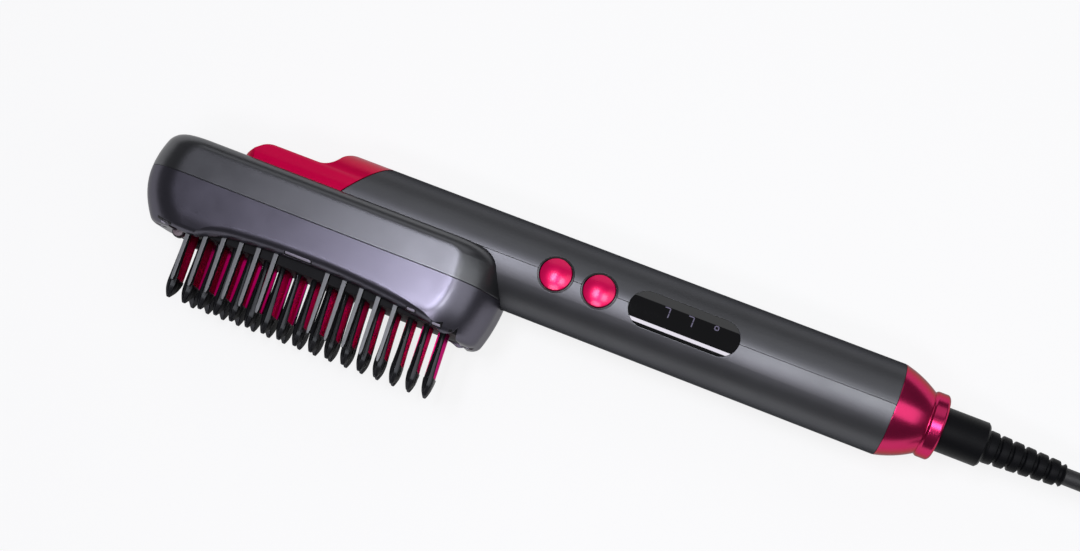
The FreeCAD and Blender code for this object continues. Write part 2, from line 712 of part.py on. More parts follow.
def back_shell():
    """Back half of the handle, which runs on over the head as a half barrel."""
    start, end = S["barrel_foot"] - 2, handle_end
    outer = rod("back_outer", "x", (start, 0, 0), S["handle_radius"], end - start)
    inner = rod("back_inner", "x", (start - 1, 0, 0), inner_radius, end - start + 2)
    front_half = box("back_half", (start - 1, end + 1), (-30, 0), (-30, 30))
    return piece(cut("back", outer, inner, front_half, ahead_of_barrel("back_rake"), *wall_cuts("back")),
                 "back_shell")


def front_shell():
    """Front half of the handle, which enters the heel of the head and is screwed there."""
    start, end = notch_start + 1, handle_end
    outer = rod("front_outer", "x", (start, 0, 0), S["handle_radius"], end - start)
    inner = rod("front_inner", "x", (start - 1, 0, 0), inner_radius, end - start + 2)
    back_half = box("front_half", (start - 1, end + 1), (0, 30), (-30, 30))
    half = cut("front_tube", outer, inner, back_half, *wall_cuts("front"))
    x, z = HEEL_SCREW
    boss = rod("front_boss", "y", (x, 1 - S["handle_radius"], z), boss_radius, 7)
    pilot = rod("front_pilot", "y", (x, -S["handle_radius"] - 1, z), pilot_radius, 8)
    return piece(cut("front", fuse("front_whole", half, boss), pilot), "front_shell")


# ---------------------------------------------------------------- water path
nozzle_face = S["barrel_foot"] + S["barrel_rake"] * S["nozzle_height"] / S["handle_radius"]
port_end = nozzle_face + 8
port_radius, spout_radius, hose_wall = 1.9, 1.4, 0.95
pump_outlet = port_end + 18.2
tank_gap = 0.4
nose_slope = 45
plug_stem_radius, plug_stem_reach = 4, 2.3
plug_cap_radius, plug_cap_height = 5.4, 0.8
chamber_start, chamber_end, chamber_half, chamber_wall = pump_outlet - 54, pump_outlet + 4, 12, 3


def dock_plate():
    """Raked end wall of the barrel, with the nozzle that the tank slides onto."""
    disc = rod("dock_disc", "x", (S["barrel_foot"] - 2, 0, 0), inner_radius - 0.05, 30)
    behind = cut("dock_behind", box("dock_back", (-10, 140), (-2, 40), (-40, 40)),
                 ahead_of_barrel("dock_keep", 2.4))
    below = box("dock_below", (60, 140), (-30, 0.05), (-30, 30))
    wall = cut("dock_wall", disc, ahead_of_barrel("dock_front"), behind, below)
    tip, height, port_start = nozzle_face - S["nozzle_reach"], S["nozzle_height"], nozzle_face + 1
    nozzle = rod("dock_nozzle", "x", (tip, height, 0), S["nozzle_radius"], port_start + 0.2 - tip)
    port = rod("dock_port", "x", (port_start, height, 0), port_radius, port_end - port_start)
    bore = rod("dock_bore", "x", (tip - 1, height, 0), 1.1, 30)
    return piece(cut("dock", fuse("dock_whole", wall, nozzle, port), bore), "dock_plate")


def water_pump():
    """Small pump on two feet inside the barrel."""
    height = S["nozzle_height"]
    can = rod("pump_can", "x", (port_end + 2, height, 0), 6.6, 24)
    inlet = rod("pump_inlet", "x", (port_end + 0.2, height, 0), port_radius, 3)
    outlet = rod("pump_spout", "y", (pump_outlet, -3, 0), spout_radius, 6)
    feet = [box(f"pump_foot_{i}", (x, x + 6), (0.05, height - 4.6), (-9.5, 9.5))
            for i, x in enumerate((port_end + 4.2, port_end + 19.7))]
    return piece(fuse("pump_whole", can, inlet, outlet, *feet), "water_pump")


def feed_hose():
    start = nozzle_face + 4.6
    return piece(tube("feed", "x", (start, S["nozzle_height"], 0), port_radius + hose_wall, port_radius,
                      port_end + 1.8 - start), "feed_hose")


def boiler_hose():
    low = chamber_top + 1.7
    return piece(tube("down", "y", (pump_outlet, low, 0), spout_radius + hose_wall, spout_radius, -0.6 - low),
                 "boiler_hose")


def tank_form(name, inset, foot, rear, nose):
    """The tank's outer or inner form: the barrel's round run forward under a stepped deck. nose gives the
    outline's points at the front, from the deck down."""
    r = S["handle_radius"]
    deck, top = S["tank_low"] - inset, r + 0.3 - inset
    front = S["tank_front"] + inset
    low_x, high_x = S["tank_ramp_start"] + inset, S["tank_ramp_end"] + inset
    rise, run = (top - deck) / 2, (high_x - low_x) / 2
    bend = (rise * rise + run * run) / (rise * 2)
    lean = S["barrel_rake"] / r
    end = S["barrel_foot"] - rear
    points = [(end + lean * foot, foot), (end + lean * top, top), (high_x, top), (low_x + run, deck + rise),
              (low_x, deck)] + nose
    bends = {2: bend, 3: -bend}
    if len(nose) > 2:
        bends[5] = S["tank_nose"] / tangent(nose_slope / 2)
    side = slab(name + "_side", points, (-30, 30), bends)
    half, corner = r + 0.5 - inset, 8 - inset
    stop = S["barrel_foot"] + 25
    plan = [(front + corner, -half), (stop, -half), (stop, half), (front + corner, half),
            (front, half - corner), (front, corner - half)]
    outline_above = sketch(name + "_plan", "xz", plan, {3: corner, 5: corner}, at=(0, 30, 0))
    rounded = prism(name + "_nose", outline_above, 40)
    barrel = rod(name + "_barrel", "x", (front - 1, 0, 0), r - inset, stop + 1 - front)
    return common(name, barrel, side, rounded)


def water_tank():
    """Removable tank: it slides off towards the head's tip, clear of its rail and nozzle."""
    gap, height, deck, wall = S["fit_gap"], S["nozzle_height"], S["tank_low"], S["tank_wall"]
    front, back, bend = S["tank_front"], S["tank_front"] + deck - gap, S["tank_nose"]
    floor = rail_height + gap + wall + 0.3
    along, up = bend * math.cos(math.radians(nose_slope)), bend * math.sin(math.radians(nose_slope))
    nose = [(back + bend, deck), (back - along, deck - up), (front, gap)]
    outer = tank_form("tank_outer", 0, gap, tank_gap, nose)
    cavity = tank_form("tank_cavity", wall, floor, tank_gap + 7, [(back, deck - wall), (back, floor)])
    channel = box("tank_channel", (rail_start - 0.5, S["barrel_foot"] + 32), (-1, rail_height + gap),
                  (-rail_half - gap, rail_half + gap))
    place = S["plug_place"]
    filler = rod("tank_filler", "y", (place, deck - wall - 0.5, 0), plug_stem_radius + gap, 10)
    recess = rod("tank_recess", "y", (place, deck - plug_cap_height - 0.05, 0), plug_cap_radius + gap, 5)
    face = nozzle_face - tank_gap
    outlet = rod("tank_outlet", "x", (face - 12, height, 0), S["nozzle_radius"] + 0.4, 20)
    groove = rod("tank_groove", "x", (face - 3.9, height, 0), S["nozzle_radius"] + 1.45, 1.4)
    return piece(cut("tank", outer, cavity, channel, filler, recess, outlet, groove), "water_tank")


def tank_seal():
    ring = doc.addObject("Part::Torus", "seal_ring")
    bind(ring, Radius1=S["nozzle_radius"] + 0.75, Radius2=0.7)
    ring.Placement.Rotation = TURNS["x"]
    return piece(put(ring, nozzle_face - tank_gap - 3.2, S["nozzle_height"], 0), "tank_seal")


def filler_plug():
    """Push-in plug, flush with the tank's low deck."""
    deck = S["tank_low"]
    stem = rod("plug_stem", "y", (S["plug_place"], deck - plug_stem_reach, 0), plug_stem_radius,
               plug_stem_reach - plug_cap_height / 2)
    cap = rod("plug_cap", "y", (S["plug_place"], deck - plug_cap_height, 0), plug_cap_radius, plug_cap_height)
    return piece(fuse("plug_whole", stem, cap), "filler_plug")


# ---------------------------------------------------------------- controls and electronics
def chord(radius, offset):
    """Half the width of a round of this radius at some distance from its middle."""
    return root(radius * radius - offset * offset)


board_top = S["board_height"] + S["board_thickness"]
board_half = chord(inner_radius, board_top) - 0.13
mains_start, mains_length = handle_end - 39, 28
board_start, board_end = S["head_length"] + 5.2, mains_start - 2
flange_radius, flange_thickness = S["button_radius"] + 1.2, 0.9
flange_top = chord(inner_radius, flange_radius) - 0.79
flange_low = flange_top - flange_thickness
switch_top, switch_half = flange_low - 0.9, 3
module_half = 5.8


def control_board():
    return piece(padded("board", rectangle((board_start, board_end), (-board_half, board_half)),
                        S["board_thickness"], start=S["board_height"]), "control_board")


def tact_switches():
    blocks = [box(f"switch_{i}", (x - switch_half, x + switch_half), (-switch_half, switch_half),
                  (board_top, switch_top)) for i, x in enumerate(button_centres)]
    return piece(group("switches", blocks), "tact_switches")


def button_bezels():
    """Dark rings that line the two button holes, flush with the handle."""
    rings = []
    for i, x in enumerate(button_centres):
        ring = tube(f"bezel_ring_{i}", "z", (x, 0, flange_top + 0.4), bezel_radius - 0.02,
                    bezel_radius - S["bezel_width"], 8)
        face = rod(f"bezel_face_{i}", "x", (x - 20, 0, 0), S["handle_radius"], 40)
        rings.append(common(f"bezel_{i}", ring, face))
    return piece(group("bezels", rings), "button_bezels")


def button(node, x):
    """A round key with a crowned face and a flange behind the wall, over its switch."""
    crown = S["handle_radius"] + S["button_proud"]
    r, dome = S["button_radius"], S["button_dome"]
    ball_radius = (r * r + dome * dome) / (dome * 2)
    ball = doc.addObject("Part::Sphere", node + "_ball")
    bind(ball, Radius=ball_radius)
    put(ball, x, 0, crown - ball_radius)
    stem = rod(node + "_stem", "z", (x, 0, flange_low), r, crown + 1 - flange_low)
    flange = rod(node + "_flange", "z", (x, 0, flange_low), flange_radius, flange_thickness)
    return piece(fuse(node + "_key", common(node + "_face", stem, ball), flange), node)


def display_window():
    """Curved smoked window, flush with the handle."""
    gap = 0.1
    start, length = display_start, S["display_length"]
    plate = stadium("window_slot", start + gap, length - gap * 2, S["display_width"] - gap * 2, (8, 25))
    skin = rod("window_skin", "x", (start - 5, 0, 0), S["handle_radius"], length + 10)
    under = rod("window_under", "x", (start - 6, 0, 0), inner_radius, length + 12)
    return piece(cut("window", common("window_whole", plate, skin), under), "display_window")


def display_module():
    """Backlit digits on the control board, right under the window."""
    start, end = display_start + 2, display_start + S["display_length"] - 2
    return piece(box("module", (start, end), (-module_half, module_half),
                     (board_top, chord(inner_radius, module_half) - 0.3)), "display_module")


def mains_board():
    half = inner_radius - 0.15
    return piece(box("mains_plate", (mains_start, mains_start + mains_length), (-half, half), (-1.2, 0.4)),
                 "mains_board")


def filter_capacitor():
    radius = 6.9
    return piece(rod("mains_can", "x", (mains_start + 3, 0, radius + 0.4), radius, 22), "filter_capacitor")


# ---------------------------------------------------------------- rear cap and turning sleeve
cap_end = handle_end + S["cap_length"]
sleeve_end = cap_end + S["sleeve_length"]
relief_end = sleeve_end + S["relief_length"]
shoulder_reach = 7
shoulder = handle_end + shoulder_reach
cone_draw = (S["handle_radius"] - S["cap_neck_radius"]) * shoulder_reach / S["cap_neck"]
cap_bore = S["handle_radius"] - cone_draw - 1.75
sleeve_flange = cap_bore - 1.2


def rear_cap():
    """Tapered cap: a spigot inside the shells, a cone down to a neck, and a collar round the sleeve."""
    seam, collar = handle_end, S["cap_collar_radius"]
    neck = seam + S["cap_neck"]
    hole = S["sleeve_radius"] + 0.05
    spigot = inner_radius - 0.1
    points = [(seam - 6, cap_bore), (shoulder, cap_bore), (shoulder, hole), (cap_end - 0.8, hole),
              (cap_end, hole + 0.8), (cap_end, collar - 0.8), (cap_end - 0.8, collar), (neck + 0.9, collar),
              (neck, S["cap_neck_radius"]), (seam, S["handle_radius"]), (seam, spigot), (seam - 6, spigot)]
    return piece(turned("cap", points, {8: 40}), "rear_cap")


def swivel_ring():
    """Ring inside the cap that traps the sleeve's flange."""
    ring = tube("trap", "x", (shoulder - 6.6, 0, 0), cap_bore - 0.02, S["sleeve_radius"] + 0.4, 3)
    return piece(ring, "swivel_ring")


pin_offset = 1.5


def contact_carrier():
    disc = rod("carrier_disc", "x", (handle_end - 6, 0, 0), cap_bore - 0.02, 3)
    holes = [rod(f"carrier_hole_{i}", "x", (handle_end - 7, y, 0), 0.8, 6)
             for i, y in enumerate((-pin_offset, pin_offset))]
    return piece(cut("carrier", disc, *holes), "contact_carrier")


def contact_pins():
    pins = [rod(f"contact_{i}", "x", (handle_end - 10, y, 0), 0.75, 20)
            for i, y in enumerate((-pin_offset, pin_offset))]
    return piece(group("contacts", pins), "contact_pins")


def cord_sleeve():
    """Turning rubber sleeve, with a flange inside the cap and a tapered strain relief."""
    bore, r = 3, S["sleeve_radius"]
    points = [(shoulder - 3.3, bore), (shoulder - 3.3, sleeve_flange), (shoulder - 0.3, sleeve_flange),
              (shoulder - 0.3, r),
              (sleeve_end, r), (sleeve_end + 3, r - 2.4), (relief_end, S["cord_radius"] + 1.1),
              (relief_end, 0), (cap_end, 0), (cap_end, bore)]
    return piece(turned("sleeve", points), "cord_sleeve")


# ---------------------------------------------------------------- cord, coil and plug
floor = -S["side_flat"]
lying = floor + S["cord_radius"]
coil_place = relief_end + S["coil_reach"]
coil_lead = 32
tie_thickness, tie_width = 0.4, 8
coil_height = floor + S["coil_bundle"] + tie_thickness + 0.05
# the turns lie in a ring of eight: the cord enters it below its outer side and leaves a little higher
turn_ring = S["coil_bundle"] - S["cord_radius"] - 0.05
coil_middle = -(S["coil_radius"] + turn_ring * math.cos(math.radians(45)))
plug_line = coil_middle - S["coil_radius"] - turn_ring * math.cos(math.radians(22.5))
plug_thickness = 16
plug_face = coil_place - 47


def cord_route():
    """Centre line of the cord: out of the sleeve, down to the table and along it to the coil."""
    return [(relief_end, 0, 0), (relief_end + 30, 0, 0), (relief_end + 73, 0, lying),
            (coil_place - coil_lead, 0, lying)]


def power_cord():
    """A round cord swept along straight runs joined by tangent arcs."""
    points = [Vector(*(value(c) for c in point)) for point in cord_route()]
    edges = []
    start = points[0]
    for i in range(1, len(points) - 1):
        back, ahead = points[i - 1] - points[i], points[i + 1] - points[i]
        shorter = min(back.Length, ahead.Length)
        half = (math.pi - back.getAngle(ahead)) / 2
        trim = 0.45 * shorter
        back.normalize()
        ahead.normalize()
        a, b = points[i] + back * trim, points[i] + ahead * trim
        inward = (back + ahead).normalize()
        radius = trim / math.tan(half)
        centre = points[i] + inward * (radius / math.cos(half))
        edges += [Part.makeLine(start, a), Part.Arc(a, centre - inward * radius, b).toShape()]
        start = b
    edges.append(Part.makeLine(start, points[-1]))
    path = doc.addObject("Part::Feature", "cord_path")
    path.Shape = Part.Wire(edges)
    circle = doc.addObject("Part::Circle", "cord_circle")
    bind(circle, Radius=S["cord_radius"])
    circle.Placement.Rotation = TURNS["x"]
    put(circle, relief_end, 0, 0)
    swept = doc.addObject("Part::Sweep", "cord_sweep")
    swept.Sections = [circle]
    swept.Spine = (path, [])
    swept.Solid = True
    swept.Frenet = False
    return piece(swept, "power_cord")


def ring_round_coil(name, radius):
    obj = doc.addObject("Part::Torus", name)
    bind(obj, Radius1=S["coil_radius"], Radius2=radius)
    return put(obj, coil_place, coil_middle, coil_height)


def cord_coil():
    """The rest of the cord as a tied coil. One of its ends leads to the brush, the other to the plug."""
    r = S["cord_radius"]
    lead_in = rod("coil_lead_in", "x", (coil_place - coil_lead, 0, lying), r, coil_lead - 8)
    lead_out = rod("coil_lead_out", "x", (plug_face, plug_line, floor + plug_thickness / 2), r,
                   coil_place - plug_face)
    return piece(fuse("coil", ring_round_coil("coil_ring", S["coil_bundle"]), lead_in, lead_out), "cord_coil")


def cord_tie():
    """Strap round the bundle, on the coil's far side."""
    reach = S["coil_radius"] + S["coil_bundle"] + 5
    near = box("tie_reach", (coil_place, coil_place + reach),
               (coil_middle - tie_width / 2, coil_middle + tie_width / 2), (floor, floor + 40))
    band = common("tie_band", ring_round_coil("tie_outer", S["coil_bundle"] + tie_thickness), near)
    return piece(cut("tie", band, ring_round_coil("tie_inner", S["coil_bundle"] + 0.02)), "cord_tie")


def plug_body():
    """Plain two-pin mains plug, lying on its flat side, with its pins towards the brush."""
    end, half, taper = plug_face - S["plug_length"], 13, 10
    points = [(plug_face, plug_line - 6), (plug_face, plug_line + 6), (plug_face - taper, plug_line + half),
              (end, plug_line + half), (end, plug_line - half), (plug_face - taper, plug_line - half)]
    return piece(padded("plug", points, plug_thickness, start=floor), "plug_body")


def plug_pins():
    end, middle = plug_face - S["plug_length"], floor + plug_thickness / 2
    pitch, thick, high = 12.7, 0.75, 3.2
    blades = [box(f"blade_{i}", (end - 17, end),
                  (plug_line + side * pitch / 2 - thick, plug_line + side * pitch / 2 + thick),
                  (middle - high, middle + high)) for i, side in enumerate((-1, 1))]
    return piece(group("blades", blades), "plug_pins")


# ---------------------------------------------------------------- build, check and write
flats = box("side_flats", (-5, S["head_length"] + 5), (-60, 5), (-S["side_flat"], S["side_flat"]))
head_housing(flats)
head_skirt(flats)
steam_outlets()
head_screws()
heated_comb()
teeth_edges()
comb_frame()
ceramic_heaters()
steam_chamber()
chamber_lid()
thermal_fuse()
back_shell()
front_shell()
dock_plate()
water_pump()
feed_hose()
boiler_hose()
water_tank()
tank_seal()
filler_plug()
control_board()
tact_switches()
button_bezels()
button("power_button", button_centres[0])
button("mode_button", button_centres[1])
display_window()
display_module()
mains_board()
filter_capacitor()
rear_cap()
swivel_ring()
contact_carrier()
contact_pins()
cord_sleeve()
power_cord()
cord_coil()
cord_tie()
plug_body()
plug_pins()
doc.recompute()

for obj in doc.Objects:
    if "Invalid" in obj.State or "Error" in obj.State:
        raise RuntimeError(f"{obj.Name} did not compute: {obj.State}")
for obj in PIECES:
    if obj.Shape.isNull() or not obj.Shape.isValid() or not obj.Shape.Solids:
        raise RuntimeError(f"{obj.Label} is not a valid solid")

# the resting frame: middle of the brush without its cord, on the table under the side of the head
middle_y = (S["tip_depth"] - S["handle_radius"]) / 2
rest = FreeCAD.Placement(Vector(-value(relief_end) / 2, value(middle_y), value(S["side_flat"])),
                         FreeCAD.Rotation())
os.makedirs("parts", exist_ok=True)
for obj in PIECES:
    placed = obj.Shape.copy()
    placed.Placement = rest.multiply(placed.Placement)
    placed.exportStep(os.path.join("parts", obj.Label + ".step"))
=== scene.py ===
"""Looks of a steam hair straightener brush, lying on its head's flat side with its cord coiled beside it."""

import math

import bmesh
import bpy
from mathutils import Matrix, Vector
from mathutils.bvhtree import BVHTree
from mathutils.interpolate import poly_3d_calc


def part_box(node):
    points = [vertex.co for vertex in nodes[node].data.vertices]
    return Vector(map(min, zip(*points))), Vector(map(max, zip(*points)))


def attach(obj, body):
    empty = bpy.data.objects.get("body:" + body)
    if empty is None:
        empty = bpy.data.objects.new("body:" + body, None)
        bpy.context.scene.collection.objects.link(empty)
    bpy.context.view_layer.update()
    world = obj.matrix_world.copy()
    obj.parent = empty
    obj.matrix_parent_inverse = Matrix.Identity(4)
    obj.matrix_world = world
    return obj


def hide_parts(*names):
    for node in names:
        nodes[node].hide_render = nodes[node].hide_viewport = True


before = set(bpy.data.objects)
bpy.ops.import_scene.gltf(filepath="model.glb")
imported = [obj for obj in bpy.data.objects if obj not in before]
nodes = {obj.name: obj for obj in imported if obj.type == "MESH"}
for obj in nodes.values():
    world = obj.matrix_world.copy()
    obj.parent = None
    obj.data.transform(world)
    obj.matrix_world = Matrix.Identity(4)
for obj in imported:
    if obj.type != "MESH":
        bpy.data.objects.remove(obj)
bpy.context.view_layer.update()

# ---- Camera, table and lamps
# The brush is seen from almost straight above, turned a little, as it lies on a plain white table. A narrow
# strip lamp shines along the handle; wide soft ones hang over the head and the handle's end, and stand past
# the cap and behind the tank.
scene = bpy.context.scene
scene.view_settings.view_transform = "Standard"

camera_place = Vector((0.05771, -0.05399, 0.56544))
camera_right = Vector((0.9233, 0.3741, -0.0877))
camera_up = Vector((-0.3542, 0.9172, 0.1831))
camera = bpy.data.objects.new("camera", bpy.data.cameras.new("camera"))
camera.data.lens = 47.26
camera.data.sensor_width = 36.0
camera.data.sensor_fit = "HORIZONTAL"
camera.data.clip_start = 0.01
axes = Matrix((camera_right, camera_up, camera_right.cross(camera_up))).transposed()
camera.matrix_world = Matrix.Translation(camera_place) @ axes.to_4x4()
scene.collection.objects.link(camera)
scene.camera = camera

room_colour = (0.95, 0.96, 1.0, 1.0)
room_light = 0.11

world = bpy.data.worlds.new("room")
world.use_nodes = True
world.node_tree.nodes["Background"].inputs["Color"].default_value = room_colour
world.node_tree.nodes["Background"].inputs["Strength"].default_value = room_light
scene.world = world


def lamp(name, place, aim, width, length, power, colour):
    """A soft rectangular lamp whose length lies along X."""
    data = bpy.data.lights.new(name, "AREA")
    data.shape = "RECTANGLE"
    data.size = length
    data.size_y = width
    data.energy = power
    data.color = colour
    ahead = (Vector(aim) - Vector(place)).normalized()
    along = (Vector((1, 0, 0)) - ahead * ahead.x).normalized()
    turn = Matrix((along, ahead.cross(along) * -1, ahead * -1)).transposed()
    light = bpy.data.objects.new(name, data)
    light.matrix_world = Matrix.Translation(place) @ turn.to_4x4()
    scene.collection.objects.link(light)


# each lamp's place and aim, its width and length in metres, its power in watts and its colour
lamp("strip_lamp", (-0.02, -0.4, 0.95), (0.05, 0.0, 0.03), 0.15, 0.34, 1.85, (0.94, 0.9, 1.0))
lamp("head_lamp", (-0.17, 0.0, 0.95), (-0.06, 0.0, 0.03), 0.3, 0.18, 3.2, (0.9, 0.89, 1.0))
lamp("heel_lamp", (0.19, -0.05, 0.95), (-0.04, 0.0, 0.03), 0.26, 0.2, 2.0, (0.97, 0.99, 1.0))
lamp("end_lamp", (0.6, 0.04, 0.72), (-0.03, 0.0, 0.03), 0.5, 0.8, 1.9, (0.97, 0.99, 1.0))
lamp("far_lamp", (-0.1, 0.85, 0.75), (-0.03, 0.0, 0.03), 0.7, 1.2, 1.7, (0.97, 0.98, 1.0))

table_size = 4.0
table_colour = (0.86, 0.86, 0.87, 1.0)
table_roughness = 0.9
table_glow = 0.8

# the table glows to the eye and to whatever mirrors it or lets it through, and lights nothing itself
table_white = bpy.data.materials.new("table_white")
table_white.use_nodes = True
tree = table_white.node_tree
shade = tree.nodes["Principled BSDF"]
shade.inputs["Base Color"].default_value = table_colour
shade.inputs["Roughness"].default_value = table_roughness
glow = tree.nodes.new("ShaderNodeEmission")
glow.inputs["Strength"].default_value = 1.0
path = tree.nodes.new("ShaderNodeLightPath")
seen = tree.nodes.new("ShaderNodeMath")
seen.operation = "MAXIMUM"
tree.links.new(path.outputs["Is Camera Ray"], seen.inputs[0])
tree.links.new(path.outputs["Is Glossy Ray"], seen.inputs[1])
seen_through = tree.nodes.new("ShaderNodeMath")
seen_through.operation = "MAXIMUM"
tree.links.new(seen.outputs[0], seen_through.inputs[0])
tree.links.new(path.outputs["Is Transmission Ray"], seen_through.inputs[1])
share = tree.nodes.new("ShaderNodeMath")
share.operation = "MULTIPLY"
share.inputs[1].default_value = table_glow
tree.links.new(seen_through.outputs[0], share.inputs[0])
blend = tree.nodes.new("ShaderNodeMixShader")
tree.links.new(share.outputs[0], blend.inputs["Fac"])
tree.links.new(shade.outputs[0], blend.inputs[1])
tree.links.new(glow.outputs[0], blend.inputs[2])
tree.links.new(blend.outputs[0], tree.nodes["Material Output"].inputs["Surface"])

bm = bmesh.new()
bmesh.ops.create_grid(bm, x_segments=1, y_segments=1, size=table_size / 2)
table_mesh = bpy.data.meshes.new("table")
bm.to_mesh(table_mesh)
bm.free()
table_mesh.materials.append(table_white)
table = bpy.data.objects.new("table", table_mesh)
scene.collection.objects.link(table)


# ---- Cord
# Round two-core mains lead in matt black PVC. It leaves the tapered relief, drops to the table and is wound
# into one rope-like coil of seven and a half turns, held by a strap; its free end carries the plug.
brush_zero = (-183.1, 22.0, 26.9)


def brush_point(x, y, z):
    """A point of the brush's own axes, in millimetres, in the row frame, where their zero is brush_zero."""
    return Vector([(own + zero) / 1000 for own, zero in zip((x, y, z), brush_zero)])


drift_scale = 28.0
smudge_scale = 95.0
noise_span = (0.3, 0.7)
grain_share = 0.4
# worn_and_glint_grey lightens sharp edges: partly worn lacquer, partly a painted highlight along them
worn_and_glint_span = (0.53, 0.62)
worn_and_glint_grey = (0.55, 0.55, 0.57, 1.0)


def surface_finish():
    """Node group for every moulded, painted or drawn surface: slow colour drift, lighter sharp edges, smudges
    and fine grain. The lighter edges are partly worn lacquer and partly a painted highlight. noise_span is
    the part of a noise that counts, grain_share how much the grain adds to the drift, and worn_and_glint_span
    the pointiness at which an edge begins to lighten and is fully lightened."""
    group = bpy.data.node_groups.new("surface_finish", "ShaderNodeTree")
    for name, kind in (("Colour", "Color"), ("Drift", "Float"), ("Grain Scale", "Float"),
                       ("Roughness", "Float"), ("Smudge", "Float"), ("Wear and Glint", "Float")):
        group.interface.new_socket(name, in_out="INPUT", socket_type="NodeSocket" + kind)
    for name, kind in (("Colour", "Color"), ("Roughness", "Float"), ("Height", "Float")):
        group.interface.new_socket(name, in_out="OUTPUT", socket_type="NodeSocket" + kind)
    make, join = group.nodes.new, group.links.new
    inputs, outputs = make("NodeGroupInput"), make("NodeGroupOutput")
    where = make("ShaderNodeTexCoord")

    def noise(detail):
        node = make("ShaderNodeTexNoise")
        node.inputs["Detail"].default_value = detail
        join(where.outputs["Object"], node.inputs["Vector"])
        return node

    def remap(source, span, to_low, to_high):
        node = make("ShaderNodeMapRange")
        node.inputs["From Min"].default_value, node.inputs["From Max"].default_value = span
        node.inputs["To Min"].default_value = to_low
        node.inputs["To Max"].default_value = to_high
        join(source, node.inputs["Value"])
        return node.outputs["Result"]

    def maths(operation, left, right):
        node = make("ShaderNodeMath")
        node.operation = operation
        join(left, node.inputs[0])
        join(right, node.inputs[1])
        return node.outputs[0]

    slow = noise(detail=3.0)
    slow.inputs["Scale"].default_value = drift_scale
    fine = noise(detail=2.0)
    join(inputs.outputs["Grain Scale"], fine.inputs["Scale"])
    sway = remap(slow.outputs["Fac"], noise_span, -1.0, 1.0)
    speck = remap(fine.outputs["Fac"], noise_span, -grain_share, grain_share)
    tone = maths("MULTIPLY", maths("ADD", sway, speck), inputs.outputs["Drift"])
    colour = make("ShaderNodeHueSaturation")
    join(remap(tone, (-1.0, 1.0), 0.0, 2.0), colour.inputs["Value"])
    join(inputs.outputs["Colour"], colour.inputs["Color"])

    # sharp edges turn lighter: partly worn lacquer, partly a painted highlight
    shape = make("ShaderNodeNewGeometry")
    edges = remap(shape.outputs["Pointiness"], worn_and_glint_span, 0.0, 1.0)
    worn = make("ShaderNodeMix")
    worn.data_type = "RGBA"
    join(maths("MULTIPLY", edges, inputs.outputs["Wear and Glint"]), worn.inputs["Factor"])
    join(colour.outputs["Color"], worn.inputs["A"])
    worn.inputs["B"].default_value = worn_and_glint_grey
    join(worn.outputs["Result"], outputs.inputs["Colour"])

    smudge = noise(detail=5.0)
    smudge.inputs["Scale"].default_value = smudge_scale
    spread = maths("MULTIPLY", remap(smudge.outputs["Fac"], noise_span, -1.0, 1.0), inputs.outputs["Smudge"])
    join(maths("ADD", inputs.outputs["Roughness"], spread), outputs.inputs["Roughness"])
    join(fine.outputs["Fac"], outputs.inputs["Height"])
    return group


finish_group = surface_finish()
varnish_roughness = 0.2


def surface(name, colour, roughness, metallic=0.0, drift=0.05, grain=2500.0, depth=0.02, smudge=0.03,
            wear_and_glint=0.0, shine=0.5, rim=(1.0, 1.0, 1.0), varnish=0.0):
    """A material: its colour and roughness through the shared group, the rest on the shader itself. depth is
    the grain's, in millimetres, shine the specular level, rim the tint of what the surface mirrors at a
    glancing angle, and varnish a clear top coat."""
    material = bpy.data.materials.new(name)
    material.use_nodes = True
    tree = material.node_tree
    shade = tree.nodes["Principled BSDF"]
    group = tree.nodes.new("ShaderNodeGroup")
    group.node_tree = finish_group
    for socket, number in (("Drift", drift), ("Grain Scale", grain), ("Roughness", roughness),
                           ("Smudge", smudge), ("Wear and Glint", wear_and_glint)):
        group.inputs[socket].default_value = number
    group.inputs["Colour"].default_value = (*colour, 1.0)
    bump = tree.nodes.new("ShaderNodeBump")
    bump.inputs["Strength"].default_value = 1.0
    bump.inputs["Distance"].default_value = depth / 1000
    tree.links.new(group.outputs["Height"], bump.inputs["Height"])
    tree.links.new(bump.outputs["Normal"], shade.inputs["Normal"])
    tree.links.new(group.outputs["Colour"], shade.inputs["Base Color"])
    tree.links.new(group.outputs["Roughness"], shade.inputs["Roughness"])
    shade.inputs["Metallic"].default_value = metallic
    shade.inputs["Specular IOR Level"].default_value = shine
    shade.inputs["Specular Tint"].default_value = (*rim, 1.0)
    shade.inputs["Coat Weight"].default_value = varnish
    shade.inputs["Coat Roughness"].default_value = varnish_roughness
    return material


cord_black = surface("cord_black", (0.016, 0.016, 0.017), 0.5, grain=3500.0, depth=0.03)
cord_thickness = 0.0066
cord_start = (366.2, 0, 0)
coil_middle = (494.0, -42.49, -14.35)
coil_radius = 36.3
coil_turns = 7.5
coil_begins = 90
strand_ring = 8.75
strand_begins = -45
strand_per_turn = -45
points_per_turn = 16
spline_draw = 0.981

# While it goes round the coil, the cord circles the rope's middle line at a distance of strand_ring, an
# eighth of a circle each turn. spline_draw is how far inside its points the spline runs there; the angles
# are in degrees.
route = [cord_start, (396.2, 0, 0), (439.2, 0, -23.6), (462, 0, -23.6), (478, 0, -22.3)]
for i in range(int(coil_turns * points_per_turn) + 1):
    turn = i / points_per_turn
    angle = math.radians(coil_begins - 360 * turn)
    strand = math.radians(strand_begins + strand_per_turn * turn)
    reach = (coil_radius + strand_ring * math.cos(strand)) / spline_draw
    route.append((coil_middle[0] + reach * math.cos(angle), coil_middle[1] + reach * math.sin(angle),
                  coil_middle[2] + strand_ring * math.sin(strand)))
plug_line = -86.87
route += [(478, plug_line, -18.4), (462, plug_line, -18.9), (447, plug_line, -18.9)]

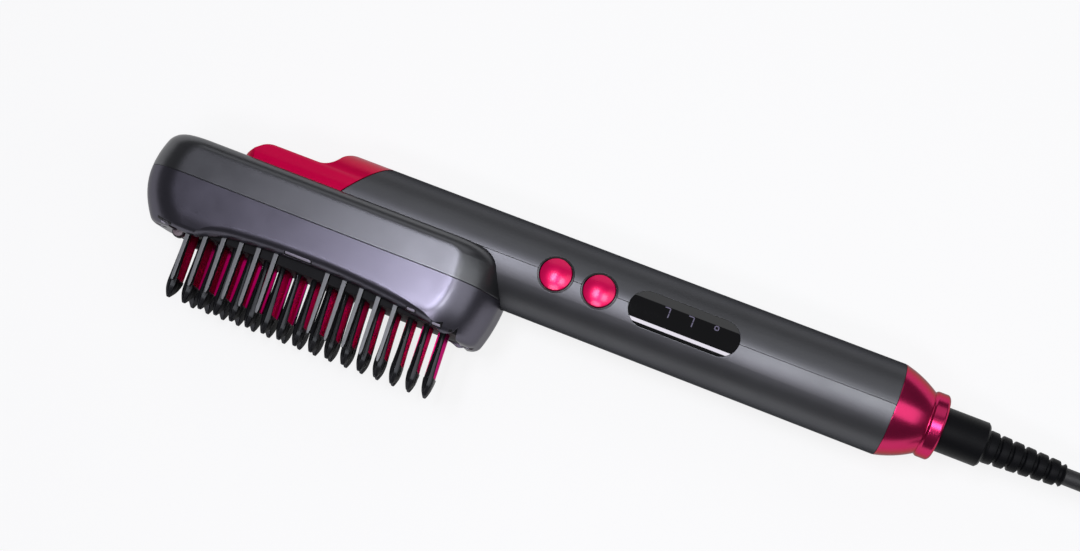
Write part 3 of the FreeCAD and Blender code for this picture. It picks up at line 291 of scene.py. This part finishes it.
cord_curve = bpy.data.curves.new("mains_cord", "CURVE")
cord_curve.dimensions = "3D"
cord_curve.bevel_depth = cord_thickness / 2
cord_curve.bevel_resolution = 5
cord_curve.use_fill_caps = True
spline = cord_curve.splines.new("NURBS")
spline.points.add(len(route) - 1)
for point, place in zip(spline.points, route):
    point.co = (*brush_point(*place), 1.0)
spline.order_u = 3
spline.use_endpoint_u = True
spline.resolution_u = 6
cord_curve.materials.append(cord_black)
cord = bpy.data.objects.new("mains_cord", cord_curve)
scene.collection.objects.link(cord)
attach(cord, "brush")
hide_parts("power_cord", "cord_coil")

cord_tie_cloth = surface("tie_webbing", (0.02, 0.02, 0.022), 0.75, grain=1800.0, depth=0.12)
plug_black = surface("plug_pvc", (0.012, 0.012, 0.013), 0.6, grain=2600.0, depth=0.03, shine=0.3)
pin_brass = surface("nickelled_brass", (0.62, 0.58, 0.5), 0.24, metallic=1.0, grain=900.0, depth=0.004)


def dress(material, *names):
    """Gives CAD nodes that are shown as they are their finish."""
    for name in names:
        mesh = nodes[name].data
        mesh.materials.clear()
        mesh.materials.append(material)


# in metres: the gap a seam may have, and how far off the surface a corner still counts as lying on it
seam_gap = 2e-6
on_surface = 2e-5
flat_angle = math.radians(0.4)
sharp_angle = math.radians(35)
crease_angle = math.radians(38)
towards_middle = 0.05
faces_sideways = 0.8


def moulded(node, edge, material, body, clamp=False, soft_flat=0.0):
    """A copy of a CAD node with its seams merged, its flats made whole and its sharp edges rounded by edge
    millimetres, shaded as the node's own surface is. With clamp, roundings stop where they would meet;
    soft_flat is the depth for soften_flats."""
    exact = nodes[node].data
    mesh = exact.copy()
    mesh.attributes.remove(mesh.attributes["custom_normal"])
    bm = bmesh.new()
    bm.from_mesh(mesh)
    bmesh.ops.remove_doubles(bm, verts=bm.verts, dist=seam_gap)
    bmesh.ops.dissolve_limit(bm, angle_limit=flat_angle, verts=bm.verts, edges=bm.edges)
    sharp_edges = [e for e in bm.edges if e.is_manifold and e.calc_face_angle() > sharp_angle]
    bmesh.ops.bevel(bm, geom=sharp_edges, offset=edge / 1000, offset_type="OFFSET", segments=2, profile=0.5,
                    affect="EDGES", material=-1, clamp_overlap=clamp)
    bmesh.ops.triangulate(bm, faces=bm.faces)
    made = show(bm, node + "_skin", material, body, [node], mesh)
    normals = exact_normals(mesh, exact)
    if soft_flat:
        soften_flats(mesh, normals, node, soft_flat)
    mesh.normals_split_custom_set(normals)
    return made


def exact_normals(mesh, exact):
    """The exact mesh's normal at each of a mesh's corners. It is looked up a little towards the middle of the
    corner's own face, so that each side of a crease gets its own; off the exact surface it stays empty."""
    triangles = [tuple(face.vertices) for face in exact.polygons]
    skin = BVHTree.FromPolygons([v.co for v in exact.vertices], triangles)
    normals = [Vector()] * len(mesh.loops)
    for face in mesh.polygons:
        for loop in face.loop_indices:
            corner = mesh.vertices[mesh.loops[loop].vertex_index].co
            for spot in (corner.lerp(face.center, towards_middle), corner):
                place, _, index, distance = skin.find_nearest(spot)
                if distance < on_surface:
                    shares = poly_3d_calc([exact.vertices[v].co for v in triangles[index]], place)
                    facing = [exact.corner_normals[i].vector for i in exact.polygons[index].loop_indices]
                    normals[loop] = sum((n * share for n, share in zip(facing, shares)), Vector())
                    break
    return normals


def soften_flats(mesh, normals, node, depth):
    """Lets a node's two side flats run into the roundings beside them over this depth, in millimetres."""
    low, high = (place[2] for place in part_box(node))
    for index, loop in enumerate(mesh.loops):
        height = mesh.vertices[loop.vertex_index].co.z
        side = Vector((0, 0, 1 if height > (low + high) / 2 else -1))
        share = min(height - low, high - height) * 1000 / depth
        if share < 1 and normals[index].dot(side) > faces_sideways:
            eased = share * share * (3 - 2 * share)
            normals[index] = side.lerp(normals[index], eased)


def show(bm, name, material, body, replaced=(), mesh=None):
    """Writes a finished bmesh, which is in the row frame, to a piece that rides on a body."""
    mesh = mesh or bpy.data.meshes.new(name)
    for face in bm.faces:
        face.smooth = True
    bm.to_mesh(mesh)
    bm.free()
    mesh.name = name
    mesh.set_sharp_from_angle(angle=crease_angle)
    mesh.materials.clear()
    mesh.materials.append(material)
    made = bpy.data.objects.new(name, mesh)
    scene.collection.objects.link(made)
    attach(made, body)
    if replaced:
        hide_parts(*replaced)
    return made


plug_edge = 1.2
dress(cord_tie_cloth, "cord_tie")
dress(pin_brass, "plug_pins")
plug_skin = moulded("plug_body", plug_edge, plug_black, "brush")

# ---- Head shells
# Two ABS mouldings that meet along the head's middle, sprayed in a satin graphite lacquer with fine metal
# flake. Three screws from the sole hold them together, and the edges at the joint are slightly broken.
head_graphite = surface("head_lacquer", (0.118, 0.12, 0.127), 0.32, metallic=0.95, drift=0.05, grain=6000.0,
                        depth=0.006, smudge=0.02, wear_and_glint=0.08, rim=(0.7, 0.7, 0.7))
# the skirt's copy of the graphite lacquer is tinted violet: a painted lavender reflection on the same lacquer
# as the housing
skirt_graphite_painted_reflection = surface("skirt_lacquer_painted_reflection", (0.118, 0.113, 0.14), 0.3, metallic=0.95, drift=0.05, grain=6000.0,
                         depth=0.006, smudge=0.02, wear_and_glint=0.08, rim=(0.5, 0.5, 0.5))
screw_steel = surface("zinced_steel", (0.55, 0.55, 0.53), 0.3, metallic=1.0, grain=1500.0, depth=0.01)

head_edge = 0.3
head_soft_flat = 1.2
moulded("head_housing", head_edge, head_graphite, "brush", soft_flat=head_soft_flat)
moulded("head_skirt", head_edge, skirt_graphite_painted_reflection, "brush", soft_flat=head_soft_flat)
dress(screw_steel, "head_screws")

# ---- Steam outlets
# Pale lavender polycarbonate bars, each in a slot along the rounded edge of the sole, whose depth is coloured
# near-black as painted shade. They light up while steam leaves them, and are pushed in from inside the skirt.
# near-black for the slots, holes and gaps of the head: painted shade of their depth
slot_painted_shade = surface("slot_painted_shade", (0.006, 0.006, 0.007), 0.5, shine=0.2)
lavender = surface("lavender_bar", (0.3, 0.275, 0.34), 0.3, drift=0.08, grain=3000.0)
dress(slot_painted_shade, "steam_outlets")

outlet_tilt = math.radians(60)
outlet_recess = 0.3
bar_width = 1.3
bar_height = 0.35
bar_sunk = 0.1
bar_aside = 0.48
bar_end_gap = 0.45
bar_round = 0.15
# where each outlet starts along the head, its length, its depth below the back and its reach across the head
outlet_places = [(21.4, 3.6, 36.0, 20.7), (68.6, 11.5, 30.4, 23.9), (120.4, 4.0, 33.3, 23.9),
                 (131.2, 4.2, 34.9, 23.5)]
to_row = Matrix.Translation(brush_point(0, 0, 0)) @ Matrix.Scale(0.001, 4)


def rounded_bar(bm, size, round_by, place):
    """A box of this size with rounded edges, moved to its place, in brush millimetres."""
    known = set(bm.verts)
    bmesh.ops.create_cube(bm, size=1.0, matrix=Matrix.Diagonal((*size, 1.0)))
    edges = [e for e in bm.edges if e.verts[0] not in known]
    bmesh.ops.bevel(bm, geom=edges, offset=round_by, offset_type="OFFSET", segments=3, profile=0.5,
                    affect="EDGES", material=-1, clamp_overlap=True)
    bmesh.ops.transform(bm, matrix=place, verts=[v for v in bm.verts if v not in known])


bm = bmesh.new()
for x, length, depth, reach in outlet_places:
    for side in (1, -1):
        lean = Matrix.Rotation((outlet_tilt - math.pi / 2) * side, 4, "X")
        place = (Matrix.Translation((x + length / 2, -depth, side * reach)) @ lean
                 @ Matrix.Translation((0, outlet_recess + bar_sunk - bar_height / 2, side * bar_aside)))
        rounded_bar(bm, (length - 2 * bar_end_gap, bar_height, bar_width), bar_round, place)
bmesh.ops.transform(bm, matrix=to_row, verts=bm.verts)
show(bm, "outlet_bars", lavender, "brush")

# marks let into the skirt's rounded edge near its tip and heel: they bend with the skin they lie on. The
# near-black strips over the tip's slot and the heel's hole are painted shade of their depth.
skirt_mesh = nodes["head_skirt"].data
skirt_skin = BVHTree.FromPolygons([to_row.inverted() @ v.co for v in skirt_mesh.vertices],
                                  [tuple(face.vertices) for face in skirt_mesh.polygons])
inlay_thickness = 0.5
inlay_round = 0.2
inlay_bends = (-0.3, -0.1, 0.1, 0.3)


def inlay(bm, start, end, width, proud):
    """A rounded bar laid along the skirt's skin from start to end, in brush millimetres. inlay_bends are the
    shares of its length, from its middle, at which it may bend."""
    run = end - start
    _, facing, _, _ = skirt_skin.find_nearest(start.lerp(end, 0.5))
    across = run.cross(facing).normalized()
    known = set(bm.verts)
    rounded_bar(bm, (run.length, inlay_thickness, width), inlay_round, Matrix())
    for bend in inlay_bends:
        parts = [v for v in bm.verts if v not in known]
        parts += [e for e in bm.edges if e.verts[0] not in known]
        parts += [f for f in bm.faces if f.verts[0] not in known]
        bmesh.ops.bisect_plane(bm, geom=parts, plane_co=(run.length * bend, 0, 0), plane_no=(1, 0, 0))
    for vert in bm.verts:
        if vert not in known:
            along, height, aside = vert.co
            spot = start.lerp(end, along / run.length + 0.5) + across * aside
            place, facing, _, _ = skirt_skin.find_nearest(spot)
            vert.co = place + facing * (height - inlay_thickness / 2 + proud)


tip_slot = (Vector((15.3, -34.8, 21.2)), Vector((22.9, -35.8, 23.6)))
tip_lens = (Vector((17.6, -36.0, 21.1)), Vector((19.7, -36.3, 21.8)))
heel_hole = (Vector((138.0, -34.9, 21.4)), Vector((139.4, -34.4, 20.8)))
slot_width = 1.4
slot_proud = 0.05
lens_width = 1.1
lens_proud = 0.12
for name, material, slot, width, proud, marks in (
        ("tip_slots", slot_painted_shade, "black_plastic", slot_width, slot_proud, (tip_slot, heel_hole)),
        ("tip_lenses", lavender, "outlet_lavender", lens_width, lens_proud, (tip_lens,))):
    bm = bmesh.new()
    for start, end in marks:
        for side in (1, -1):
            flip = Vector((1, 1, side))
            inlay(bm, start * flip, end * flip, width, proud)
    bmesh.ops.recalc_face_normals(bm, faces=bm.faces)
    bmesh.ops.transform(bm, matrix=to_row, verts=bm.verts)
    show(bm, name, material, "brush")

# two round rests, half sunk in the sole at the tip, each in a near-black ring that is painted shade of the
# gap around it
rest_middle = (21.9, -36.4)
rest_inner = 9.6
rest_outer = 12.6
rest_radius = 2.15
rest_round = 0.3
ring_outer = 12.2
ring_radius = 2.6
rest_grey = surface("rest_plastic", (0.2, 0.155, 0.17), 0.4, grain=2500.0, depth=0.02)
for name, material, slot, radius, outer in (
        ("tip_rests", rest_grey, "shell_grey", rest_radius, rest_outer),
        ("tip_rest_rings", slot_painted_shade, "black_plastic", ring_radius, ring_outer)):
    bm = bmesh.new()
    for side in (1, -1):
        place = Matrix.Translation((*rest_middle, side * (rest_inner + outer) / 2))
        bmesh.ops.create_cone(bm, cap_ends=True, segments=40, radius1=radius, radius2=radius,
                              depth=outer - rest_inner, matrix=place)
    rims = [e for e in bm.edges if e.calc_face_angle() > sharp_angle]
    bmesh.ops.bevel(bm, geom=rims, offset=rest_round, offset_type="OFFSET", segments=3, profile=0.5,
                    affect="EDGES", material=-1)
    bmesh.ops.transform(bm, matrix=to_row, verts=bm.verts)
    show(bm, name, material, "brush")

# ---- Teeth
# Glass-filled nylon, black and smooth: a ridged, lance-shaped blade pressed onto the outer edge of every fin,
# with a blunt leaf tip that caps the fin so that hot metal never touches the scalp.
tooth_black = surface("tooth_nylon", (0.05, 0.051, 0.056), 0.24, metallic=0.85, grain=2500.0, depth=0.008,
                      smudge=0.03, rim=(0.1, 0.1, 0.1))
fin_first = 25.9
fin_span = 108.6
fin_count = 17
fin_pitch = fin_span / (fin_count - 1)
row_stagger = 3.4
row_rise = 1.2
tooth_lean = math.tan(math.radians(4.5))
tooth_round = 0.3
tooth_sharp = math.radians(40)
ridge_slope = 0.7
inner_half = 1.4
root = 35.0
near = 10.9
far = 12.6
# depth below the back, half the width along the head, and how far it reaches from and to across the head:
# a narrow blade down to the fin's end, and then the leaf that caps the whole fin
blade = [(root, 1.1, near, far), (43.0, 1.25, near, far), (48.0, 1.5, near, far), (51.5, 1.72, near, far),
         (53.8, 1.84, near, far), (54.2, 1.86, 2.3, far), (55.4, 1.88, 2.6, far), (56.8, 1.8, 3.6, far),
         (58.2, 1.6, 5.0, 12.45), (59.5, 1.28, 6.5, 12.0), (60.7, 0.88, 7.9, 11.4), (61.7, 0.45, 8.9, 10.8)]


def drawn_out(bm, sections, x, side, rise):
    """A tooth with a ridge along its outer side, drawn through these sections, that leans to the handle."""
    def section(depth, half, inner, outer):
        middle = x + (depth - root) * tooth_lean
        slim, shoulder = min(half, inner_half), outer - ridge_slope * half
        return [Vector((middle + a, rise - depth, b * side))
                for a, b in ((-slim, inner), (slim, inner), (half, shoulder), (0, outer), (-half, shoulder))]

    ring = [bm.verts.new(place) for place in section(*sections[0])]
    face = bm.faces.new(ring if side > 0 else reversed(ring))
    for before, after in zip(sections, sections[1:]):
        old, new = section(*before), section(*after)
        grown = bmesh.ops.extrude_face_region(bm, geom=[face])["geom"]
        face = next(g for g in grown if isinstance(g, bmesh.types.BMFace))
        for vert in face.verts:
            vert.co = new[min(range(len(old)), key=lambda k: (vert.co - old[k]).length)]


bm = bmesh.new()
for i in range(fin_count):
    for side, x in ((1, fin_first + fin_pitch * i), (-1, fin_first + fin_pitch * i + row_stagger)):
        if side > 0 or i < fin_count - 1:
            drawn_out(bm, blade, x, side, row_rise * i / (fin_count - 1))
bmesh.ops.recalc_face_normals(bm, faces=bm.faces)
tooth_edges = [e for e in bm.edges if e.is_manifold and e.calc_face_angle() > tooth_sharp]
bmesh.ops.bevel(bm, geom=tooth_edges, offset=tooth_round, offset_type="OFFSET", segments=3, profile=0.5,
                affect="EDGES", material=-1, clamp_overlap=False)
bmesh.ops.transform(bm, matrix=to_row, verts=bm.verts)
show(bm, "teeth", tooth_black, "brush", ["teeth_edges"])

# ---- Comb
# The black nylon frame closes the sole and carries the thin guard teeth. The fins that come through it are
# one aluminium casting, anodised magenta, with a line of steam holes between its two rows.
frame_black = surface("frame_nylon", (0.004, 0.004, 0.005), 0.7, grain=2500.0, depth=0.03, shine=0.2)
anodised = surface("anodised_magenta", (0.4, 0.002, 0.12), 0.28, metallic=1.0, drift=0.08, grain=5000.0,
                   depth=0.008, rim=(0.9, 0.15, 0.5))
# grey for the guard teeth's flats is a painted highlight on the frame's black nylon
guard_painted_highlight = surface("guard_nylon_painted_highlight", (0.13, 0.135, 0.14), 0.4, grain=2500.0, depth=0.015)
frame_edge = 0.25
comb_skin = moulded("comb_frame", frame_edge, frame_black, "brush")
comb_skin.data.materials.append(guard_painted_highlight)
# the flat sides of the guard teeth, which stand farther out than the rest of the frame, are coloured grey as
# a painted highlight: they are the same black nylon as the rest of the frame
guard_inner = 18.6
guard_flat = 0.9
middle_height = brush_point(0, 0, 0).z
for face in comb_skin.data.polygons:
    reach = abs(face.center.z - middle_height) * 1000
    face.material_index = 1 if reach > guard_inner and abs(face.normal.z) > guard_flat else 0
dress(anodised, "heated_comb")

# ---- Handle shells
# Two half tubes of the same lacquered ABS. The back one runs on over the head; they meet along a line that
# passes through the keys and the display.
graphite = surface("handle_lacquer", (0.118, 0.12, 0.127), 0.44, metallic=0.95, drift=0.05, grain=6000.0,
                   depth=0.006, smudge=0.02, wear_and_glint=0.08, rim=(0.12, 0.12, 0.13))
shell_edge = 0.25
moulded("back_shell", shell_edge, graphite, "brush")
moulded("front_shell", shell_edge, graphite, "brush")

# ---- Water tank and filler plug
# The tank is ABS in magenta lacquer and slides onto the barrel's nozzle, where a silicone ring seals it. Its
# dark rubber plug lies flush in the low deck. The hoses behind the nozzle are silicone too.
magenta = surface("tank_lacquer", (0.6, 0.0, 0.055), 0.34, metallic=0.4, drift=0.04, grain=6000.0,
                  depth=0.006, smudge=0.02, wear_and_glint=0.03, shine=0.1, rim=(0.3, 0.1, 0.15), varnish=0.15)
silicone = surface("grey_silicone", (0.3, 0.3, 0.31), 0.6, grain=1200.0, depth=0.02)
plug_rubber = surface("plug_rubber", (0.03, 0.03, 0.032), 0.55, grain=3000.0, depth=0.03)
tank_edge = 0.4
moulded("water_tank", tank_edge, magenta, "tank", clamp=True)
dress(plug_rubber, "filler_plug")
dress(silicone, "tank_seal", "feed_hose", "boiler_hose")

# ---- Keys
# Two round keys with crowned faces, lacquered magenta under a glossy top coat. Each springs back from a small
# switch. The near-black ring that lines its hole is painted shade of the gap round the key.
key_magenta = surface("key_lacquer", (0.72, 0.0, 0.09), 0.3, metallic=0.5, drift=0.03, grain=6000.0,
                      depth=0.005, wear_and_glint=0.03, shine=0.1, rim=(0.5, 0.12, 0.25), varnish=0.6)
# near-black for the bezel rings: painted shade of the gaps round the keys
ring_painted_shade = surface("ring_painted_shade", (0.004, 0.004, 0.005), 0.35)
key_edge = 0.3
moulded("power_button", key_edge, key_magenta, "power_button_body")
moulded("mode_button", key_edge, key_magenta, "mode_button_body")
dress(ring_painted_shade, "button_bezels")

# ---- Display
# Smoked acrylic window, polished and flush with the handle. The plain digits that a small module lights up
# behind it are thin strokes laid on its face, bent to the handle's roundness.
smoked = surface("smoked_acrylic", (0.0015, 0.0015, 0.002), 0.03, grain=800.0, depth=0.0005, smudge=0.01,
                 shine=0.9)
dress(smoked, "display_window")
digit_light = surface("digit_light", (0.05, 0.045, 0.07), 0.5, shine=0.2)
digit_glow = (0.55, 0.5, 0.75, 1.0)
digit_brightness = 0.16
digit_shade = digit_light.node_tree.nodes["Principled BSDF"]
digit_shade.inputs["Emission Color"].default_value = digit_glow
digit_shade.inputs["Emission Strength"].default_value = digit_brightness
handle_radius = 18.0
digit_height = 3.8
digit_width = 2.2
digit_rise = 1.4
digit_proud = 0.03
stroke = 0.42
stroke_gap = 0.21
stroke_thickness = 0.06
stroke_round = 0.02
# the corners that each figure's strokes join, as shares of its box from the lower left
figures = {"7": [(0, 1), (1, 1), (1, 0.5), (1, 0)],
           "ring": [(0.1, 1), (0.9, 1), (0.9, 0.62), (0.1, 0.62), (0.1, 1)]}
bm = bmesh.new()
for figure, left, scale in (("7", 209.6, 1.0), ("7", 218.9, 1.0), ("ring", 229.2, 0.8)):
    places = [Vector((left + x * digit_width * scale, (y - 0.5) * digit_height + digit_rise))
              for x, y in figures[figure]]
    for start, end in zip(places, places[1:]):
        middle = (start + end) / 2
        turn = Matrix.Rotation(math.atan2(end.y - start.y, end.x - start.x), 4, "Z")
        place = Matrix.Translation((middle.x, middle.y, 0)) @ turn
        length = (end - start).length - stroke_gap
        rounded_bar(bm, (length, stroke, stroke_thickness), stroke_round, place)
for vert in bm.verts:
    angle = vert.co.y / handle_radius
    reach = handle_radius + digit_proud + vert.co.z
    vert.co = Vector((vert.co.x, reach * math.sin(angle), reach * math.cos(angle)))
bmesh.ops.transform(bm, matrix=to_row, verts=bm.verts)
show(bm, "display_digits", digit_light, "brush")

# ---- Rear cap and cord sleeve
# The cap is lacquered like the tank. The sleeve turns in it: soft black rubber with a ribbed, tapered end
# that keeps the cord from bending sharply.
rubber = surface("sleeve_rubber", (0.004, 0.0042, 0.005), 0.5, grain=3500.0, depth=0.03, shine=0.25,
                 rim=(0.3, 0.3, 0.3))
cap_magenta = surface("cap_lacquer", (0.56, 0.016, 0.11), 0.24, metallic=0.95, drift=0.04, grain=6000.0,
                      depth=0.006, smudge=0.02, wear_and_glint=0.03, shine=0.1, rim=(0.2, 0.08, 0.1), varnish=0.3)
cap_edge = 0.3
moulded("rear_cap", cap_edge, cap_magenta, "brush")

flange_start = 304.0
flange_end = 306.6
flange_radius = 12.6
sleeve_bore = 3.4
sleeve_bore_end = 319.4
sleeve_end = 336.2
sleeve_radius = 8.6
sleeve_round = 0.8
relief_step = 0.4
relief_end = cord_start[0]
relief_radius = 6.2
relief_wall = 1.1
cord_radius = cord_thickness * 1000 / 2
cord_grip = 0.1
rib_count = 6
rib_margin = 1.0
rib_edge = 0.3
rib_gap = 1.4
rib_deep = 0.9
rib_heel = 0.25
rib_crown = 0.45
rib_toe = 0.3


def turned_piece(bm, outline):
    """Turns an outline of (along, radius) points about the handle's middle line."""
    verts = [bm.verts.new((x, r, 0)) for x, r in outline]
    edges = [bm.edges.new(pair) for pair in zip(verts, verts[1:])]
    bmesh.ops.spin(bm, geom=verts + edges, cent=(0, 0, 0), axis=(1, 0, 0), angle=math.tau, steps=96,
                   use_merge=True)
    bmesh.ops.remove_doubles(bm, verts=bm.verts, dist=1e-4)
    bmesh.ops.recalc_face_normals(bm, faces=bm.faces)


outline = [(flange_start, sleeve_bore), (flange_start, flange_radius), (flange_end, flange_radius),
           (flange_end, sleeve_radius), (sleeve_end - sleeve_round, sleeve_radius),
           (sleeve_end, sleeve_radius - sleeve_round), (sleeve_end + relief_step, relief_radius)]
rib_pitch = (relief_end - sleeve_end - 2 * rib_margin) / rib_count
taper = (relief_radius - cord_radius - relief_wall) / (relief_end - sleeve_end)
# each rib rises from its heel to its crown, falls to its toe, and drops into the gap before the next one
for i in range(rib_count):
    start = sleeve_end + rib_margin + rib_pitch * i
    end = start + rib_pitch
    gap = end - rib_gap
    r = relief_radius - taper * (end - sleeve_end)
    outline += [(start, r + rib_heel), (start + rib_edge, r + rib_crown), (gap - rib_edge, r + rib_toe),
                (gap, r), (gap + rib_edge, r - rib_deep), (end - rib_edge, r - rib_deep)]
outline += [(relief_end - relief_step, cord_radius + relief_wall),
            (relief_end, cord_radius + relief_wall - rib_edge), (relief_end, cord_radius - cord_grip),
            (sleeve_bore_end, cord_radius - cord_grip), (sleeve_bore_end, sleeve_bore),
            (flange_start, sleeve_bore)]
bm = bmesh.new()
turned_piece(bm, outline)
bmesh.ops.transform(bm, matrix=to_row, verts=bm.verts)
show(bm, "sleeve_and_relief", rubber, "sleeve", ["cord_sleeve"])

# ---- Inside
# What the shells hide: a cast aluminium boiler on its ceramic heaters, a bought pump and the plate that the
# tank docks on, two circuit boards with their switches and capacitor, and brass contacts for the sleeve.
cast_metal = surface("cast_aluminium", (0.6, 0.6, 0.61), 0.42, metallic=1.0, grain=1400.0, depth=0.05)
ceramic = surface("white_ceramic", (0.72, 0.7, 0.66), 0.55, grain=2000.0, depth=0.02)
pump_black = surface("pump_plastic", (0.03, 0.03, 0.032), 0.45, grain=2200.0, depth=0.03)
pale_nylon = surface("pale_nylon", (0.62, 0.62, 0.6), 0.5, grain=2200.0, depth=0.02)
solder_mask = surface("solder_mask", (0.01, 0.09, 0.03), 0.35, drift=0.1, grain=700.0, depth=0.02)
contact_brass = surface("contact_brass", (0.7, 0.5, 0.22), 0.28, metallic=1.0, grain=1200.0, depth=0.005)
dress(cast_metal, "steam_chamber", "chamber_lid")
dress(ceramic, "ceramic_heaters")
dress(screw_steel, "thermal_fuse")
dress(pump_black, "water_pump", "dock_plate", "tact_switches", "filter_capacitor")
dress(pale_nylon, "display_module", "contact_carrier", "swivel_ring")
dress(solder_mask, "control_board", "mains_board")
dress(contact_brass, "contact_pins")
